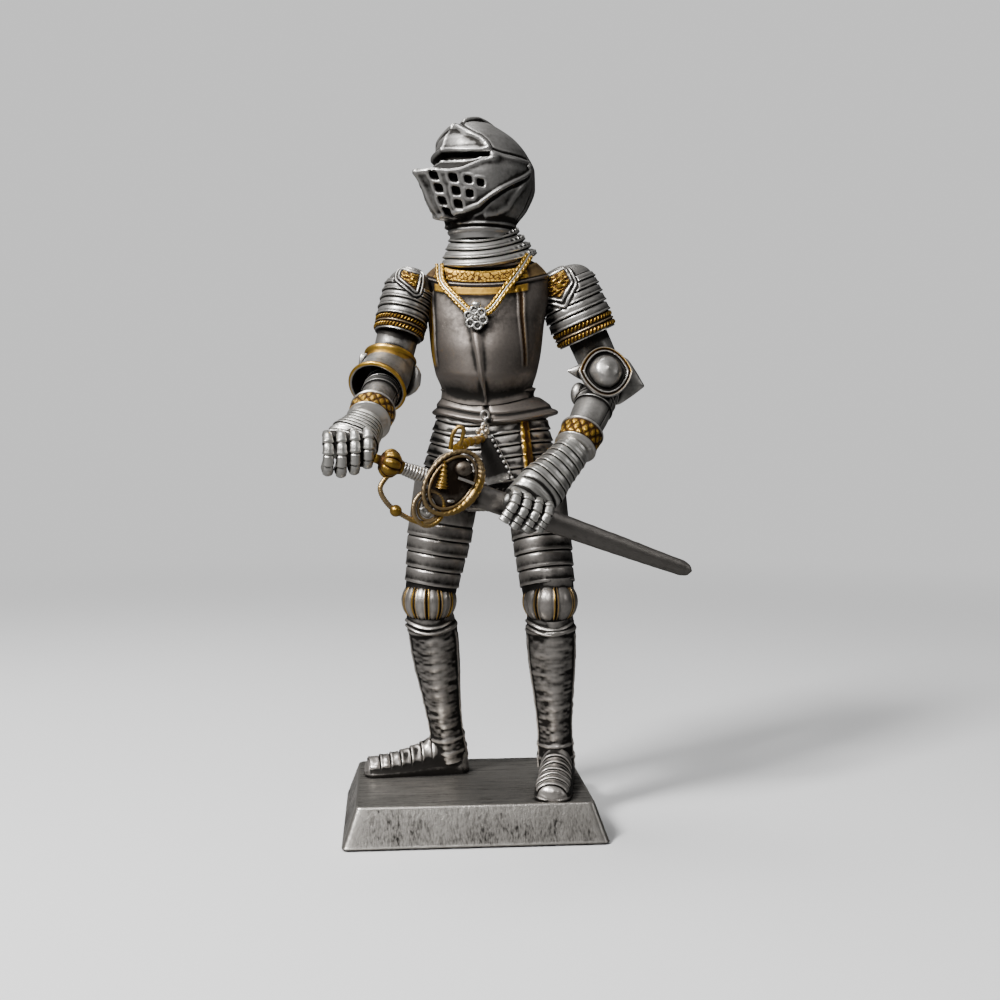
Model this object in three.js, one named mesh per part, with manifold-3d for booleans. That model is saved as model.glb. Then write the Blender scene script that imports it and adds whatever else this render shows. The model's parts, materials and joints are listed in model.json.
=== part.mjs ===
import * as THREE from 'three';
import { mergeVertices } from 'three/addons/utils/BufferGeometryUtils.js';
import Module from 'manifold-3d';

// A cast pewter knight in full plate armour on a bevelled plinth, holding a swept-hilt rapier.
// Millimetres, +Z up, the figure looks towards -Y, origin at the middle of the plinth's underside.

const wasm = await Module();
wasm.setup();

// Driving dimensions
const figureHeight = 95.7;       // sole of the foot to the top of the helmet's comb
const plinthHeight = 5.2;
const plinthBevel = 1.8;         // how far each sloped side runs in from the underside to the top
const plinthSideMargin = 0.9;    // plinth top past the feet, to each side
const plinthFrontMargin = 0.35;  // plinth top in front of the left toe
const plinthBackMargin = 3.2;    // plinth top behind the right heel
const plinthCorner = 0.9;        // radius of the plinth's upright corners
const swordLength = 50.6;        // pommel button to the tip of the blade
const bladeWidth = 3.2;          // at the guard
const tipWidth = 2.3;            // where the rounded tip begins
const bladeThickness = 1.3;
const gripDiameter = 1.7;
const gripLength = 7.6;          // pommel to guard
const pommelDiameter = 3.9;
const pommelLength = 3.0;
const buttonDiameter = 1.3;      // rivet button on the end of the pommel
const buttonLength = 0.9;
const bladeShoulder = 2.0;       // from the guard to the blade's full width
const guardWire = 1.0;           // thickness of the bars of the guard
const guardFace = 1.0;           // how far the bars lie in front of the sword's axis
const ringWidth = 7.0;           // big side ring, along the sword
const ringHeight = 9.0;          // big side ring, across the sword
const ringSlant = 0.95;          // how far the top of the ring leans towards the blade
const ringSetBack = 0.55;        // ring's middle, from the end of the grip towards the pommel
const ringRise = 0.3;            // ring's middle above the sword's axis
const shellThickness = 0.7;      // plate that closes the ring
const shellInset = 0.1;          // shell's radius under half the ring's width
const loopDiameter = 4.4;        // lower side loop
const loopDrop = 3.9;            // loop's middle below the sword's axis
const loopSetBack = 2.5;         // loop's middle, from the end of the grip towards the pommel
const handGap = 0.3;             // clearance round the sword in the hands that hold it

// The figure keeps its pose and proportions as shares of its own height: the height is
// 96 parts, eight heads of 12 parts, and every size of the figure below is in those parts.
const part = figureHeight / 96;

// Outline of both feet on the plinth, in parts
const stance = { left: -15.5, right: 15.2, front: -12.1, back: 9.2 };

// Plinth top, worked out from the feet and the margins
const topLeft = stance.left * part - plinthSideMargin;
const topRight = stance.right * part + plinthSideMargin;
const topFront = stance.front * part - plinthFrontMargin;
const topBack = stance.back * part + plinthBackMargin;
const topLength = topRight - topLeft;
const topDepth = topBack - topFront;
const footing = new THREE.Vector3(-(topLeft + topRight) / 2, -(topFront + topBack) / 2, plinthHeight);

const pewter = new THREE.MeshStandardMaterial({ color: 0x77736d, roughness: 0.42, metalness: 0.9 });
const bladeSteel = new THREE.MeshStandardMaterial({ color: 0x6b665f, roughness: 0.4, metalness: 0.9 });
const darkPewter = new THREE.MeshStandardMaterial({ color: 0x5f5c56, roughness: 0.5, metalness: 0.85 });

const vec = (x, y, z) => new THREE.Vector3(x, y, z);

/** A point of the figure: parts across, back and up from the plinth's top, to millimetres. */
const spot = (x, y, z) => vec(x, y, z).multiplyScalar(part).add(footing);

/** Distance along one axis with a rounded corner: the superellipse's power law. */
const rounded = (value, power) => Math.sign(value) * Math.abs(value) ** (2 / power);

/** Turns a closed geometry into a solid. */
function solid(geometry) {
  geometry.deleteAttribute('normal');
  geometry.deleteAttribute('uv');
  const merged = mergeVertices(geometry, 1e-5);
  return new wasm.Manifold(new wasm.Mesh({
    numProp: 3,
    vertProperties: new Float32Array(merged.attributes.position.array),
    triVerts: new Uint32Array(merged.index.array),
  }));
}

/** Joins a list of solids into one. */
const union = (solids) => solids.reduce((whole, next) => whole.add(next));

/** A solid skinned over rings of points. Looped rings close on each other, others get flat ends. */
function skin(rings, looped = false) {
  const sides = rings[0].length;
  const positions = rings.flat().flatMap((p) => [p.x, p.y, p.z]);
  const index = [];
  const spans = looped ? rings.length : rings.length - 1;
  for (let i = 0; i < spans; i += 1) {
    const low = i * sides;
    const high = ((i + 1) % rings.length) * sides;
    for (let k = 0; k < sides; k += 1) {
      const next = (k + 1) % sides;
      index.push(low + k, low + next, high + next);
      index.push(low + k, high + next, high + k);
    }
  }
  if (!looped) {
    const last = (rings.length - 1) * sides;
    for (let k = 1; k < sides - 1; k += 1) {
      index.push(0, k + 1, k);
      index.push(last, last + k, last + k + 1);
    }
  }
  const corner = (i) => vec(...positions.slice(3 * index[i], 3 * index[i] + 3));
  let volume = 0;
  for (let i = 0; i < index.length; i += 3) {
    volume += corner(i).dot(corner(i + 1).cross(corner(i + 2)));
  }
  if (volume < 0) index.reverse();
  const geometry = new THREE.BufferGeometry();
  geometry.setAttribute('position', new THREE.Float32BufferAttribute(positions, 3));
  geometry.setIndex(index);
  return solid(geometry);
}

/** Outline of a cross-section as [across, forward] pairs, starting at the front. */
function outline({ across, front, back = front, keel = 0, power = 2 }, sides) {
  return Array.from({ length: sides }, (_, k) => {
    const angle = (2 * Math.PI * k) / sides;
    const c = Math.cos(angle);
    const ahead = rounded(c, power) * (c > 0 ? front : back) + keel * Math.max(0, c) ** 8;
    return [across * rounded(Math.sin(angle), power), ahead, Math.max(0, c)];
  });
}

/**
 * A plate or limb along a line of points. Each station is [share of the line, half-width,
 * half-depth]; the half-depth may be a pair for front and back. forward is the way the front looks.
 */
function limb(points, forward, stations, { sides = 14, power = 2, keel = 0 } = {}) {
  const line = new THREE.CatmullRomCurve3(points.map((p) => spot(...p)));
  const rings = stations.map(([share, across, depth]) => {
    const centre = line.getPoint(share);
    const along = line.getTangent(share);
    const side = forward.clone().cross(along).normalize();
    const ahead = along.clone().cross(side).normalize();
    const [front, back] = Array.isArray(depth) ? depth : [depth, depth];
    return outline({ across, front, back, keel, power }, sides).map(([x, y]) => centre.clone()
      .addScaledVector(side, x * part)
      .addScaledVector(ahead, y * part));
  });
  return skin(rings);
}

/**
 * Stations of overlapping plates along a share of a line: each plate comes out of a groove,
 * lies at its own size and flares by lip at its lower edge.
 */
function lames(count, [start, end], [first, last], depthShare, { groove = 0.3, lip = 0.15 } = {}) {
  return Array.from({ length: count }, (_, i) => {
    const at = (n) => start + ((end - start) * n) / count;
    const size = (n, more) => [first + ((last - first) * n) / count + more]
      .flatMap((across) => [across, across * depthShare]);
    return [
      [at(i), ...size(i, -groove)],
      [at(i + 0.3), ...size(i + 0.3, 0)],
      [at(i + 1), ...size(i + 1, lip)],
    ];
  }).flat();
}

/** A ball squeezed to three half-sizes, turned to look along forward. */
function boss(centre, forward, [across, ahead, up], sides = 12) {
  const geometry = new THREE.SphereGeometry(1, sides, Math.max(6, sides / 2));
  const side = forward.clone().cross(vec(0, 0, 1)).normalize();
  const rise = side.clone().cross(forward).normalize();
  geometry.applyMatrix4(new THREE.Matrix4().makeScale(across * part, up * part, ahead * part));
  geometry.applyMatrix4(new THREE.Matrix4().makeBasis(side, rise, side.clone().cross(rise)));
  return solid(geometry.translate(...spot(...centre)));
}

/** A round bar through points in millimetres, open with flat ends or looped. */
function bar(points, radius, { looped = false, sides = 6, steps = 16 } = {}) {
  const path = new THREE.CatmullRomCurve3(points, looped);
  const frames = path.computeFrenetFrames(steps, looped);
  const count = looped ? steps : steps + 1;
  const rings = Array.from({ length: count }, (_, i) => {
    const centre = path.getPointAt(i / steps);
    const size = typeof radius === 'function' ? radius(i / steps) : radius;
    return Array.from({ length: sides }, (__, k) => {
      const angle = (2 * Math.PI * k) / sides;
      return centre.clone()
        .addScaledVector(frames.normals[i], size * Math.cos(angle))
        .addScaledVector(frames.binormals[i], size * Math.sin(angle));
    });
  });
  return skin(rings, looped);
}

/** A turned solid: profile as [radius, distance] pairs along axis from base. */
function turned(base, axis, profile, sides) {
  const outlinePoints = profile.map(([radius, height]) => new THREE.Vector2(radius, height));
  const geometry = new THREE.LatheGeometry(outlinePoints, sides);
  const turn = new THREE.Quaternion().setFromUnitVectors(vec(0, 1, 0), axis);
  return solid(geometry.applyQuaternion(turn).translate(base.x, base.y, base.z));
}

/** Bevelled plinth with rounded upright corners. */
function makePlinth() {
  const ringAt = (height, grow) => {
    const x = topLength / 2 + grow - plinthCorner;
    const y = topDepth / 2 + grow - plinthCorner;
    const corners = [[x, y, 0], [-x, y, 1], [-x, -y, 2], [x, -y, 3]];
    const arcSteps = 3;
    return corners.flatMap(([cx, cy, quarter]) => Array.from({ length: arcSteps + 1 }, (_, k) => {
      const angle = (Math.PI / 2) * (quarter + k / arcSteps);
      return vec(cx + plinthCorner * Math.cos(angle), cy + plinthCorner * Math.sin(angle), height);
    }));
  };
  return skin([ringAt(0, plinthBevel), ringAt(plinthHeight, 0)]);
}

// Joints of the figure in parts: across, back, up from the plinth's top
const chest = { y: 2.6, twist: 12 };
const arms = {
  right: {
    crown: [-7.6, 3.4, 73.8],
    shoulder: [-9.0, 3.2, 70.0],
    elbow: [-11.9, 1.2, 58.6],
    wrist: [-14.6, -11.0, 51.6],
    plates: { wide: 3.4, narrow: 3.7, depth: 1.3 },
    couter: { look: [-0.15, -0.9, 0.35], across: 4.5, tall: 3.1, point: [-16.2, 0.4, 60.6] },
  },
  left: {
    crown: [12.8, 3.4, 74.3],
    shoulder: [14.6, 3.2, 70.6],
    elbow: [20.3, 3.4, 58.2],
    wrist: [14.2, -5.4, 48.0],
    plates: { wide: 4.5, narrow: 4.3, depth: 1.0 },
    couter: { look: [0.25, -0.95, 0.1], across: 5.1, tall: 3.7, point: [26.6, 4.6, 57.0] },
  },
};
const legs = {
  right: { hip: [-3.2, 3.0, 43.0], knee: [-6.0, 2.6, 25.8], ankle: [-3.1, 5.8, 4.6], thigh: 4.6 },
  left: { hip: [9.5, 2.2, 43.0], knee: [11.2, -1.6, 26.0], ankle: [12.3, 0.2, 4.6], thigh: 4.2 },
};
const swordLine = { button: [-13.8, -16.7, 47.0], leftFist: [9.6, -9.0, 38.4] };
const badge = { centre: [0.7, -3.9, 66.4], look: [-0.15, -1, 0], half: [2.0, 0.8, 2.0] };

/** Breastplate and backplate with a central keel, waist rims and the skirt of lames below. */
function makeBody() {
  const level = (station) => {
    const turn = THREE.MathUtils.degToRad(station.twist);
    return outline(station, 16).map(([x, y, c]) => {
      const side = x * Math.cos(turn) - y * Math.sin(turn);
      const ahead = x * Math.sin(turn) + y * Math.cos(turn);
      return spot(station.x + side, station.y - ahead, station.z - (station.dip ?? 0) * c ** 3);
    });
  };
  const cuirass = [
    { z: 76.0, x: 2.8, across: 4.6, front: 3.4, back: 4.0, keel: 0 },
    { z: 74.6, x: 2.7, across: 7.4, front: 4.2, back: 4.6, keel: 0 },
    { z: 72.4, x: 2.5, across: 9.2, front: 4.7, back: 5.2, keel: 0 },
    { z: 70.0, x: 2.5, across: 9.1, front: 5.0, back: 5.5, keel: 0 },
    { z: 66.5, x: 2.4, across: 8.5, front: 5.7, back: 5.6, keel: 0.3 },
    { z: 62.0, x: 2.4, across: 8.0, front: 6.4, back: 5.3, keel: 0.6 },
    { z: 59.0, x: 2.4, across: 7.4, front: 6.3, back: 4.9, keel: 0.7 },
    { z: 56.4, x: 2.5, across: 6.6, front: 5.0, back: 4.5, keel: 0.5, dip: 1.2 },
    { z: 55.4, x: 2.5, across: 6.9, front: 5.4, back: 4.7, keel: 0.4, dip: 1.2 },
  ].map((s) => level({ power: 2.3, ...chest, ...s }));
  const flange = [
    { z: 56.2, x: 2.8, across: 6.2, front: 4.6, back: 4.2 },
    { z: 54.2, x: 3.5, across: 8.6, front: 5.9, back: 5.6 },
    { z: 53.4, x: 3.7, across: 8.9, front: 6.0, back: 5.8 },
    { z: 52.8, x: 3.6, across: 8.4, front: 5.6, back: 5.4 },
  ].map((s) => level({ y: 2.6, twist: 6, dip: 1.3, keel: 0.3, ...s }));
  const skirtTop = 54.6;
  const skirtDrop = 10.6;
  const skirtLames = lames(5, [0, 1], [7.6, 10.0], 0.66, { groove: 0.45, lip: 0.25 });
  const skirt = skirtLames.map(([share, across, depth]) => level({
    x: 3.2 - 0.2 * share,
    y: 2.4,
    z: skirtTop - skirtDrop * share,
    across,
    front: depth,
    twist: 4,
    dip: 0.6,
  }));
  const seat = [
    { z: 45.0, across: 9.0, front: 6.2 },
    { z: 41.0, across: 8.6, front: 5.6 },
    { z: 39.2, across: 6.0, front: 4.4 },
  ].map((s) => level({ x: 3.1, y: 2.4, twist: 4, ...s }));
  return union([cuirass, flange, skirt, seat].map((rings) => skin(rings)));
}

/** Standing collar of stacked lames, lower in front, with the neck inside it. */
function makeGorget() {
  const tilt = 0.2;
  return skin(lames(4, [0, 1], [4.4, 6.7], 0.86).map(([share, across, depth]) => {
    const z = 79.2 - 4.2 * share;
    return outline({ across, front: depth }, 13).map(([x, y]) => spot(
      1.9 + 0.9 * share + x,
      3.0 - y,
      z + tilt * (x - y * 0.6),
    ));
  }));
}

// Helmet: centre, the way it looks, and its shell in rings from the neck up
const helm = { x: 1.6, y: 2.5, z: 87.9, yaw: 57 };
const helmAhead = vec(0, -1, 0).applyAxisAngle(vec(0, 0, 1), THREE.MathUtils.degToRad(-helm.yaw));
const helmSide = vec(0, 0, 1).cross(helmAhead);

/** A point of the helmet: forward, to its left, up from its centre. */
const helmSpot = (ahead, side, up) => spot(helm.x, helm.y, helm.z + up)
  .addScaledVector(helmAhead, ahead * part)
  .addScaledVector(helmSide, side * part);

/** One ring of the helmet; tip above zero draws the front out to a prow. */
function helmRing({ up, across, front, back, tip = 0 }, sides = 16) {
  return Array.from({ length: sides }, (_, k) => {
    const angle = (2 * Math.PI * k) / sides;
    const c = Math.cos(angle);
    const ahead = c > 0 ? c * front + tip * (1 - Math.abs(Math.sin(angle))) ** 1.4 : c * back;
    return helmSpot(ahead, across * Math.sin(angle), up);
  });
}

/** A flat slab in the helmet's side view, from [forward, up] corners, equally wide to both sides. */
function helmSlab(corners, halfWidth) {
  const shape = new THREE.Shape(corners.map(([ahead, up]) => new THREE.Vector2(ahead * part, up * part)));
  const depth = 2 * halfWidth * part;
  const geometry = new THREE.ExtrudeGeometry(shape, { depth, bevelEnabled: false });
  const rise = vec(0, 0, 1);
  geometry.translate(0, 0, -depth / 2);
  geometry.applyMatrix4(new THREE.Matrix4().makeBasis(helmAhead, rise, helmAhead.clone().cross(rise)));
  return solid(geometry.translate(...helmSpot(0, 0, 0)));
}

/** Closed helmet: skull with comb, bevor, pointed visor with slit and breaths, pivots. */
function makeHelmet() {
  const skull = skin([
    { up: -9.8, across: 4.4, front: 4.4, back: 4.5 },
    { up: -8.4, across: 4.5, front: 4.7, back: 4.6 },
    { up: -7.2, across: 5.1, front: 5.4, back: 5.4 },
    { up: -5.0, across: 6.3, front: 6.5, back: 7.2 },
    { up: -2.0, across: 7.1, front: 7.0, back: 8.4 },
    { up: 0.4, across: 7.1, front: 7.0, back: 8.3 },
    { up: 2.5, across: 6.6, front: 6.7, back: 6.9 },
    { up: 4.5, across: 5.3, front: 5.8, back: 4.9 },
    { up: 6.2, across: 3.1, front: 4.2, back: 2.3 },
    { up: 7.1, across: 1.4, front: 2.6, back: 0.6 },
  ].map((ring) => helmRing(ring)));
  const visorShell = skin([
    { up: -7.9, across: 5.1, front: 5.3, tip: 1.0 },
    { up: -5.5, across: 6.7, front: 6.7, tip: 2.2 },
    { up: -2.6, across: 7.5, front: 7.3, tip: 2.7 },
    { up: -0.3, across: 7.6, front: 7.5, tip: 4.1 },
    { up: 0.3, across: 7.6, front: 7.5, tip: 1.6 },
    { up: 1.6, across: 7.4, front: 7.2, tip: 0 },
    { up: 4.2, across: 6.1, front: 6.4, tip: 0 },
    { up: 5.2, across: 4.8, front: 5.2, tip: 0 },
  ].map((ring) => helmRing({ back: 6, ...ring })));
  const visorTopEdge = [[3.4, 4.9], [0.4, 3.4], [-3.4, 1.6]];
  const visorLowEdge = [[-2.8, -0.9], [1.0, -2.5], [4.6, -5.0], [6.2, -8.5]];
  const visorSide = helmSlab([...visorTopEdge, ...visorLowEdge, [14, -8.5], [14, 6]], 9);
  const visor = visorShell.intersect(visorSide);
  const slit = helmSlab([[2.6, 1.5], [9, 1.5], [9, 2.5], [2.6, 2.5]], 9)
    .subtract(skin([1.0, 3.0].map((up) => helmRing({ up, across: 6.2, front: 6.2, back: 6.2 }, 10))));
  const breaths = [1, -1].flatMap((hand) => [4, 3, 2].flatMap((holes, column) => (
    Array.from({ length: holes }, (_, row) => {
      const up = -1.3 - 1.6 * row - 0.3 * column;
      const angle = hand * (0.24 + 0.24 * column);
      const reach = 8.9 - 0.55 * row - 0.35 * column;
      const hole = new THREE.BoxGeometry(1.1 * part, 2.6 * part, 1.1 * part);
      const turn = new THREE.Matrix4().makeRotationZ(THREE.MathUtils.degToRad(-helm.yaw) + angle);
      hole.applyMatrix4(turn).translate(...helmSpot(reach * Math.cos(angle), reach * Math.sin(angle), up));
      return solid(hole);
    })
  )));
  const crestFront = [[5.6, 5.6], [4.2, 7.0], [2.2, 7.9], [0.4, 8.1]];
  const crestBack = [[-1.6, 7.5], [-4.0, 5.9], [-6.2, 4.0], [-8.0, 1.2]];
  const comb = helmSlab([...crestFront, ...crestBack, [-6, 0], [0, 4], [4, 4]], 0.45);
  const pivots = [-1, 1].map((side) => solid(new THREE.SphereGeometry(0.75 * part, 6, 4)
    .translate(...helmSpot(-1.9, side * 7.2, 0.5))));
  return union([skull, visor, ...pivots, comb]).subtract(union([slit, ...breaths]));
}

/** Shoulder plates, plain upper plate, elbow cop with its winged rim, plain lower plate, cuff. */
function makeArm({ crown, shoulder, elbow, wrist, plates, couter }) {
  const forward = vec(0, -1, 0);
  const drop = shoulder.map((value, axis) => value * 0.4 + elbow[axis] * 0.6);
  const { wide, narrow, depth } = plates;
  const pauldron = limb([crown, shoulder, drop], forward, [
    [0, wide * 0.25, wide * 0.25],
    [0.06, wide * 0.55, wide * 0.55 * depth],
    [0.17, wide * 0.85, wide * 0.85 * depth],
    ...lames(5, [0.3, 1], [wide, narrow], depth),
  ], { sides: 12 });
  const upper = limb([shoulder, elbow], forward, [[0.4, 3.0, 3.0], [0.98, 2.9, 3.1]], { sides: 9 });
  const lower = limb([elbow, wrist], vec(0, 0, 1), [
    [0, 3.1, 3.1],
    [0.35, 3.2, 3.1],
    [0.76, 2.4, 2.4],
    [0.76, 2.8, 2.8],
    [0.95, 3.0, 3.0],
    [0.95, 2.3, 2.3],
  ], { sides: 10 });
  const look = vec(...couter.look).normalize();
  const cop = boss(elbow, look, [4.0, 4.2, 4.0], 10);
  const plate = elbow.map((value, axis) => value + look.toArray()[axis] * 1.6);
  const sideways = look.clone().cross(vec(0, 0, 1)).normalize();
  const rise = sideways.clone().cross(look);
  const wing = skin([[-1.0, 0.8], [0, 1.08], [0.8, 1.1], [0.4, 0.75]].map(([ahead, size]) => (
    outline({ across: couter.across * size, front: couter.tall * size }, 12).map(([x, y]) => spot(...plate)
      .addScaledVector(look, ahead * part)
      .addScaledVector(sideways, x * part)
      .addScaledVector(rise, y * part))
  )));
  const point = bar([spot(...elbow), spot(...couter.point)], (share) => (2.6 - 2.3 * share) * part, {
    sides: 5,
    steps: 2,
  });
  return union([pauldron, upper, lower, cop, wing, point]);
}

/**
 * A closed gauntlet: palm from the wrist to the knuckles and four fingers curled down.
 * row runs along the knuckles, curl is the way the fingers turn; they bulge towards the front.
 * tips are the ends of each finger as [ahead, share of its reach].
 */
function makeFist(wrist, { knuckles, row, curl, tips }) {
  const out = curl.clone().cross(row).normalize();
  if (out.y > 0) out.negate();
  const place = (along, ahead, down) => spot(...knuckles)
    .addScaledVector(row, along * part)
    .addScaledVector(out, ahead * part)
    .addScaledVector(curl, down * part);
  const palmEnd = place(0, -1.2, 1.6);
  const start = spot(...wrist);
  const along = palmEnd.clone().sub(start).normalize();
  const side = row.clone().addScaledVector(along, -row.dot(along)).normalize();
  const ahead = along.clone().cross(side).normalize();
  const palmStations = [[-0.15, 2.1, 2.1], [0.35, 2.7, 2.4], [0.7, 3.4, 2.4], [1.15, 3.3, 2.2]];
  const palm = skin(palmStations.map(([share, across, front]) => {
    const centre = start.clone().lerp(palmEnd, share);
    return outline({ across, front, power: 2.6 }, 12).map(([x, y]) => centre.clone()
      .addScaledVector(side, x * part)
      .addScaledVector(ahead, y * part));
  }));
  const spacing = 1.72;
  const swell = (share) => (0.76 + 0.09 * Math.abs(Math.sin(share * Math.PI * 3))) * part;
  const fingers = [4.0, 4.4, 4.2, 3.6].map((reach, index) => {
    const bent = [[0.5, -0.1], [1.5, reach * 0.3], [1.3, reach * 0.7]];
    const ends = tips.map(([front, share]) => [front, reach * share]);
    const points = [[-1.6, -0.5], ...bent, ...ends].map(([front, down]) => (
      place((index - 1.5) * spacing, front, down)
    ));
    return bar(points, swell, { sides: 5, steps: 6 });
  });
  return union([palm, ...fingers]);
}

/** Thigh lames, melon-fluted knee, greave and laminated shoe. */
function makeLeg({ hip, knee, ankle, thigh: thick }, toe, heel, flutes) {
  const forward = vec(0, -1, 0);
  const thigh = limb([hip, knee], forward, [
    [0, thick + 0.2, 4.6],
    ...lames(3, [0.4, 0.84], [thick, 3.8], 1),
  ], { sides: 10 });
  const shin = limb([knee, ankle], forward, [
    [0.1, 3.3, 3.3],
    [0.24, 3.7, [3.4, 3.8]],
    [0.42, 3.4, [3.1, 3.7]],
    [0.68, 2.8, 2.9],
    [0.9, 2.5, 2.5],
    [1.12, 2.7, 2.7],
  ], { sides: 10, keel: 0.25 });
  const puffRadius = 4.1;
  const puff = skin(Array.from({ length: 6 }, (_, i) => {
    const rise = Math.PI * (i / 5 - 0.5);
    const centre = spot(knee[0], knee[1], knee[2] + 3.1 * Math.sin(rise));
    const level = 3.0 + (puffRadius - 3.0) * Math.cos(rise);
    return Array.from({ length: flutes * 2 }, (__, k) => {
      const angle = (Math.PI * k) / flutes;
      const radius = level - (k % 2 ? 0.5 * Math.cos(rise) : 0);
      return centre.clone().add(vec(Math.cos(angle), Math.sin(angle), 0).multiplyScalar(radius * part));
    });
  }));
  return union([thigh, shin, puff, makeShoe(heel, toe)]);
}

/** A shoe of overlapping lames with a flat sole, from heel to toe. */
function makeShoe(heel, toe) {
  const start = spot(...heel);
  const end = spot(...toe);
  const along = end.clone().sub(start);
  const side = vec(0, 0, 1).cross(along).normalize();
  const profile = [
    [0, 1.6, 3.4],
    [0.06, 2.3, 5.2],
    [0.34, 2.6, 5.6],
    [0.42, 2.6, 4.6],
    ...[0, 1, 2].flatMap((i) => [
      [0.43 + i * 0.165, 2.5, 3.9 - 0.75 * i],
      [0.58 + i * 0.165, 2.65, 3.75 - 0.75 * i],
    ]),
    [0.93, 2.5, 2.2],
    [0.98, 1.9, 1.9],
    [1.0, 1.1, 1.2],
  ];
  return skin(profile.map(([share, across, high]) => {
    const centre = start.clone().addScaledVector(along, share);
    return Array.from({ length: 10 }, (_, k) => {
      const angle = (2 * Math.PI * k) / 10 + Math.PI / 10;
      const up = Math.max(0, Math.sin(angle)) ** 0.8 * high;
      return centre.clone()
        .addScaledVector(side, across * Math.cos(angle) * part)
        .add(vec(0, 0, up * part));
    });
  }));
}

// Sword: its button sits in the right fist and its blade runs through the left
const pommelSpot = spot(...swordLine.button);
const bladeSpot = spot(...swordLine.leftFist);
const swordAxis = bladeSpot.clone().sub(pommelSpot).normalize();
const swordUp = vec(0, 0, 1).addScaledVector(swordAxis, -swordAxis.z).normalize();
const swordFace = swordAxis.clone().cross(swordUp);

/** A point of the sword in millimetres: along its axis, up its edge, towards its face. */
const swordSpot = (along, up, face) => pommelSpot.clone()
  .addScaledVector(swordAxis, along)
  .addScaledVector(swordUp, up)
  .addScaledVector(swordFace, face);

/** Rapier with a round pommel and a swept guard; grow thickens what the hands hold. */
function makeSword(grow = 0) {
  const guardAt = buttonLength + pommelLength + gripLength;
  const button = buttonDiameter / 2 + grow;
  const radius = pommelDiameter / 2 + grow;
  const grip = gripDiameter / 2 + grow;
  const handle = turned(swordSpot(0, 0, 0), swordAxis, [
    [0, -grow],
    [button, -grow],
    [button, buttonLength - grow],
    [radius * 0.8, buttonLength + pommelLength * 0.15],
    [radius, buttonLength + pommelLength * 0.45],
    [radius * 0.75, buttonLength + pommelLength * 0.85],
    [grip, buttonLength + pommelLength],
    [grip * 1.2, guardAt - gripLength / 2],
    [grip, guardAt + guardWire],
    [0, guardAt + guardWire],
  ], 8);
  const tipRun = tipWidth * 0.8;
  const blade = skin([
    [guardAt, bladeWidth * 0.8],
    [guardAt + bladeShoulder, bladeWidth],
    [swordLength - tipRun, tipWidth],
    [swordLength - tipRun * 0.3, tipWidth * 0.75],
    [swordLength, tipWidth * 0.25],
  ].map(([along, width]) => {
    const high = width / 2 + grow;
    const thick = bladeThickness / 2 + grow;
    const corners = [[1, 0], [0.5, 1], [-0.5, 1], [-1, 0], [-0.5, -1], [0.5, -1]];
    return corners.map(([up, face]) => swordSpot(along, up * high, face * thick));
  }));
  return union([handle, blade, ...(grow ? [] : makeGuard(guardAt))]);
}

/** Swept guard: big side ring with its shell plate, lower loop, knuckle bow and a hooked cross bar. */
function makeGuard(guardAt) {
  const wire = guardWire / 2;
  const oval = (centre, half, tall, lean) => Array.from({ length: 10 }, (_, k) => {
    const angle = (2 * Math.PI * k) / 10;
    return swordSpot(
      centre[0] + half * Math.cos(angle) + lean * Math.sin(angle),
      centre[1] + tall * Math.sin(angle),
      centre[2],
    );
  });
  const ringAt = guardAt - ringSetBack;
  const ringCentre = [ringAt, ringRise, guardFace * 1.3];
  const ringPoints = oval(ringCentre, ringWidth / 2, ringHeight / 2, ringSlant);
  const ring = bar(ringPoints, wire * 1.3, { looped: true, sides: 4, steps: 15 });
  const shellRadius = ringWidth / 2 - shellInset;
  const shell = turned(swordSpot(ringAt, ringRise, guardFace * 0.95), swordFace, [
    [0, -shellThickness / 2],
    [shellRadius, -shellThickness / 2],
    [shellRadius, shellThickness / 4],
    [0, shellThickness / 2],
  ], 10);
  const loopCentre = [guardAt - loopSetBack, -loopDrop, guardFace];
  const loopPoints = oval(loopCentre, loopDiameter / 2, loopDiameter / 2, 0);
  const loop = bar(loopPoints, wire, { looped: true, sides: 4, steps: 12 });
  const bow = bar([
    swordSpot(buttonLength + pommelLength * 0.6, -pommelDiameter * 0.3, 0),
    swordSpot(buttonLength + pommelLength * 0.4, -pommelDiameter * 0.9, guardFace * 0.2),
    swordSpot(buttonLength + pommelLength, -ringHeight * 0.45, guardFace * 0.4),
    swordSpot(guardAt - gripLength * 0.65, -ringHeight * 0.66, guardFace * 0.7),
    swordSpot(guardAt - loopSetBack, -ringHeight * 0.68, guardFace),
  ], wire, { sides: 4, steps: 9 });
  const cross = bar([
    swordSpot(guardAt - ringWidth * 0.2, -ringHeight * 0.6, guardFace * 0.9),
    swordSpot(guardAt, -ringHeight * 0.2, guardFace * 0.5),
    swordSpot(guardAt, ringHeight * 0.2, guardFace * 0.5),
    swordSpot(guardAt - ringWidth * 0.1, ringHeight * 0.55, guardFace * 0.9),
    swordSpot(guardAt - ringWidth * 0.17, ringHeight * 0.82, guardFace),
    swordSpot(guardAt - ringWidth * 0.29, ringHeight * 0.84, guardFace),
    swordSpot(guardAt - ringWidth * 0.3, ringHeight * 0.52, guardFace * 1.1),
  ], (share) => wire * (1.4 - 0.5 * share), { sides: 4, steps: 8 });
  return [ring, shell, loop, bow, cross];
}

/** Collar of cords from the gorget down to a round badge on the breast. */
function makeCollar() {
  const cordRadius = 0.75 * part;
  const cords = [[-3.6, -1.0, 74.6], [7.6, -0.6, 75.4]].map((top) => {
    const middle = top.map((value, axis) => (value + badge.centre[axis]) / 2 + [0, -0.9, 0][axis]);
    const line = [spot(...top), spot(...middle), spot(...badge.centre)];
    return bar(line, cordRadius, { sides: 4, steps: 4 });
  });
  return union([...cords, boss(badge.centre, vec(...badge.look).normalize(), badge.half, 10)]);
}

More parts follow.
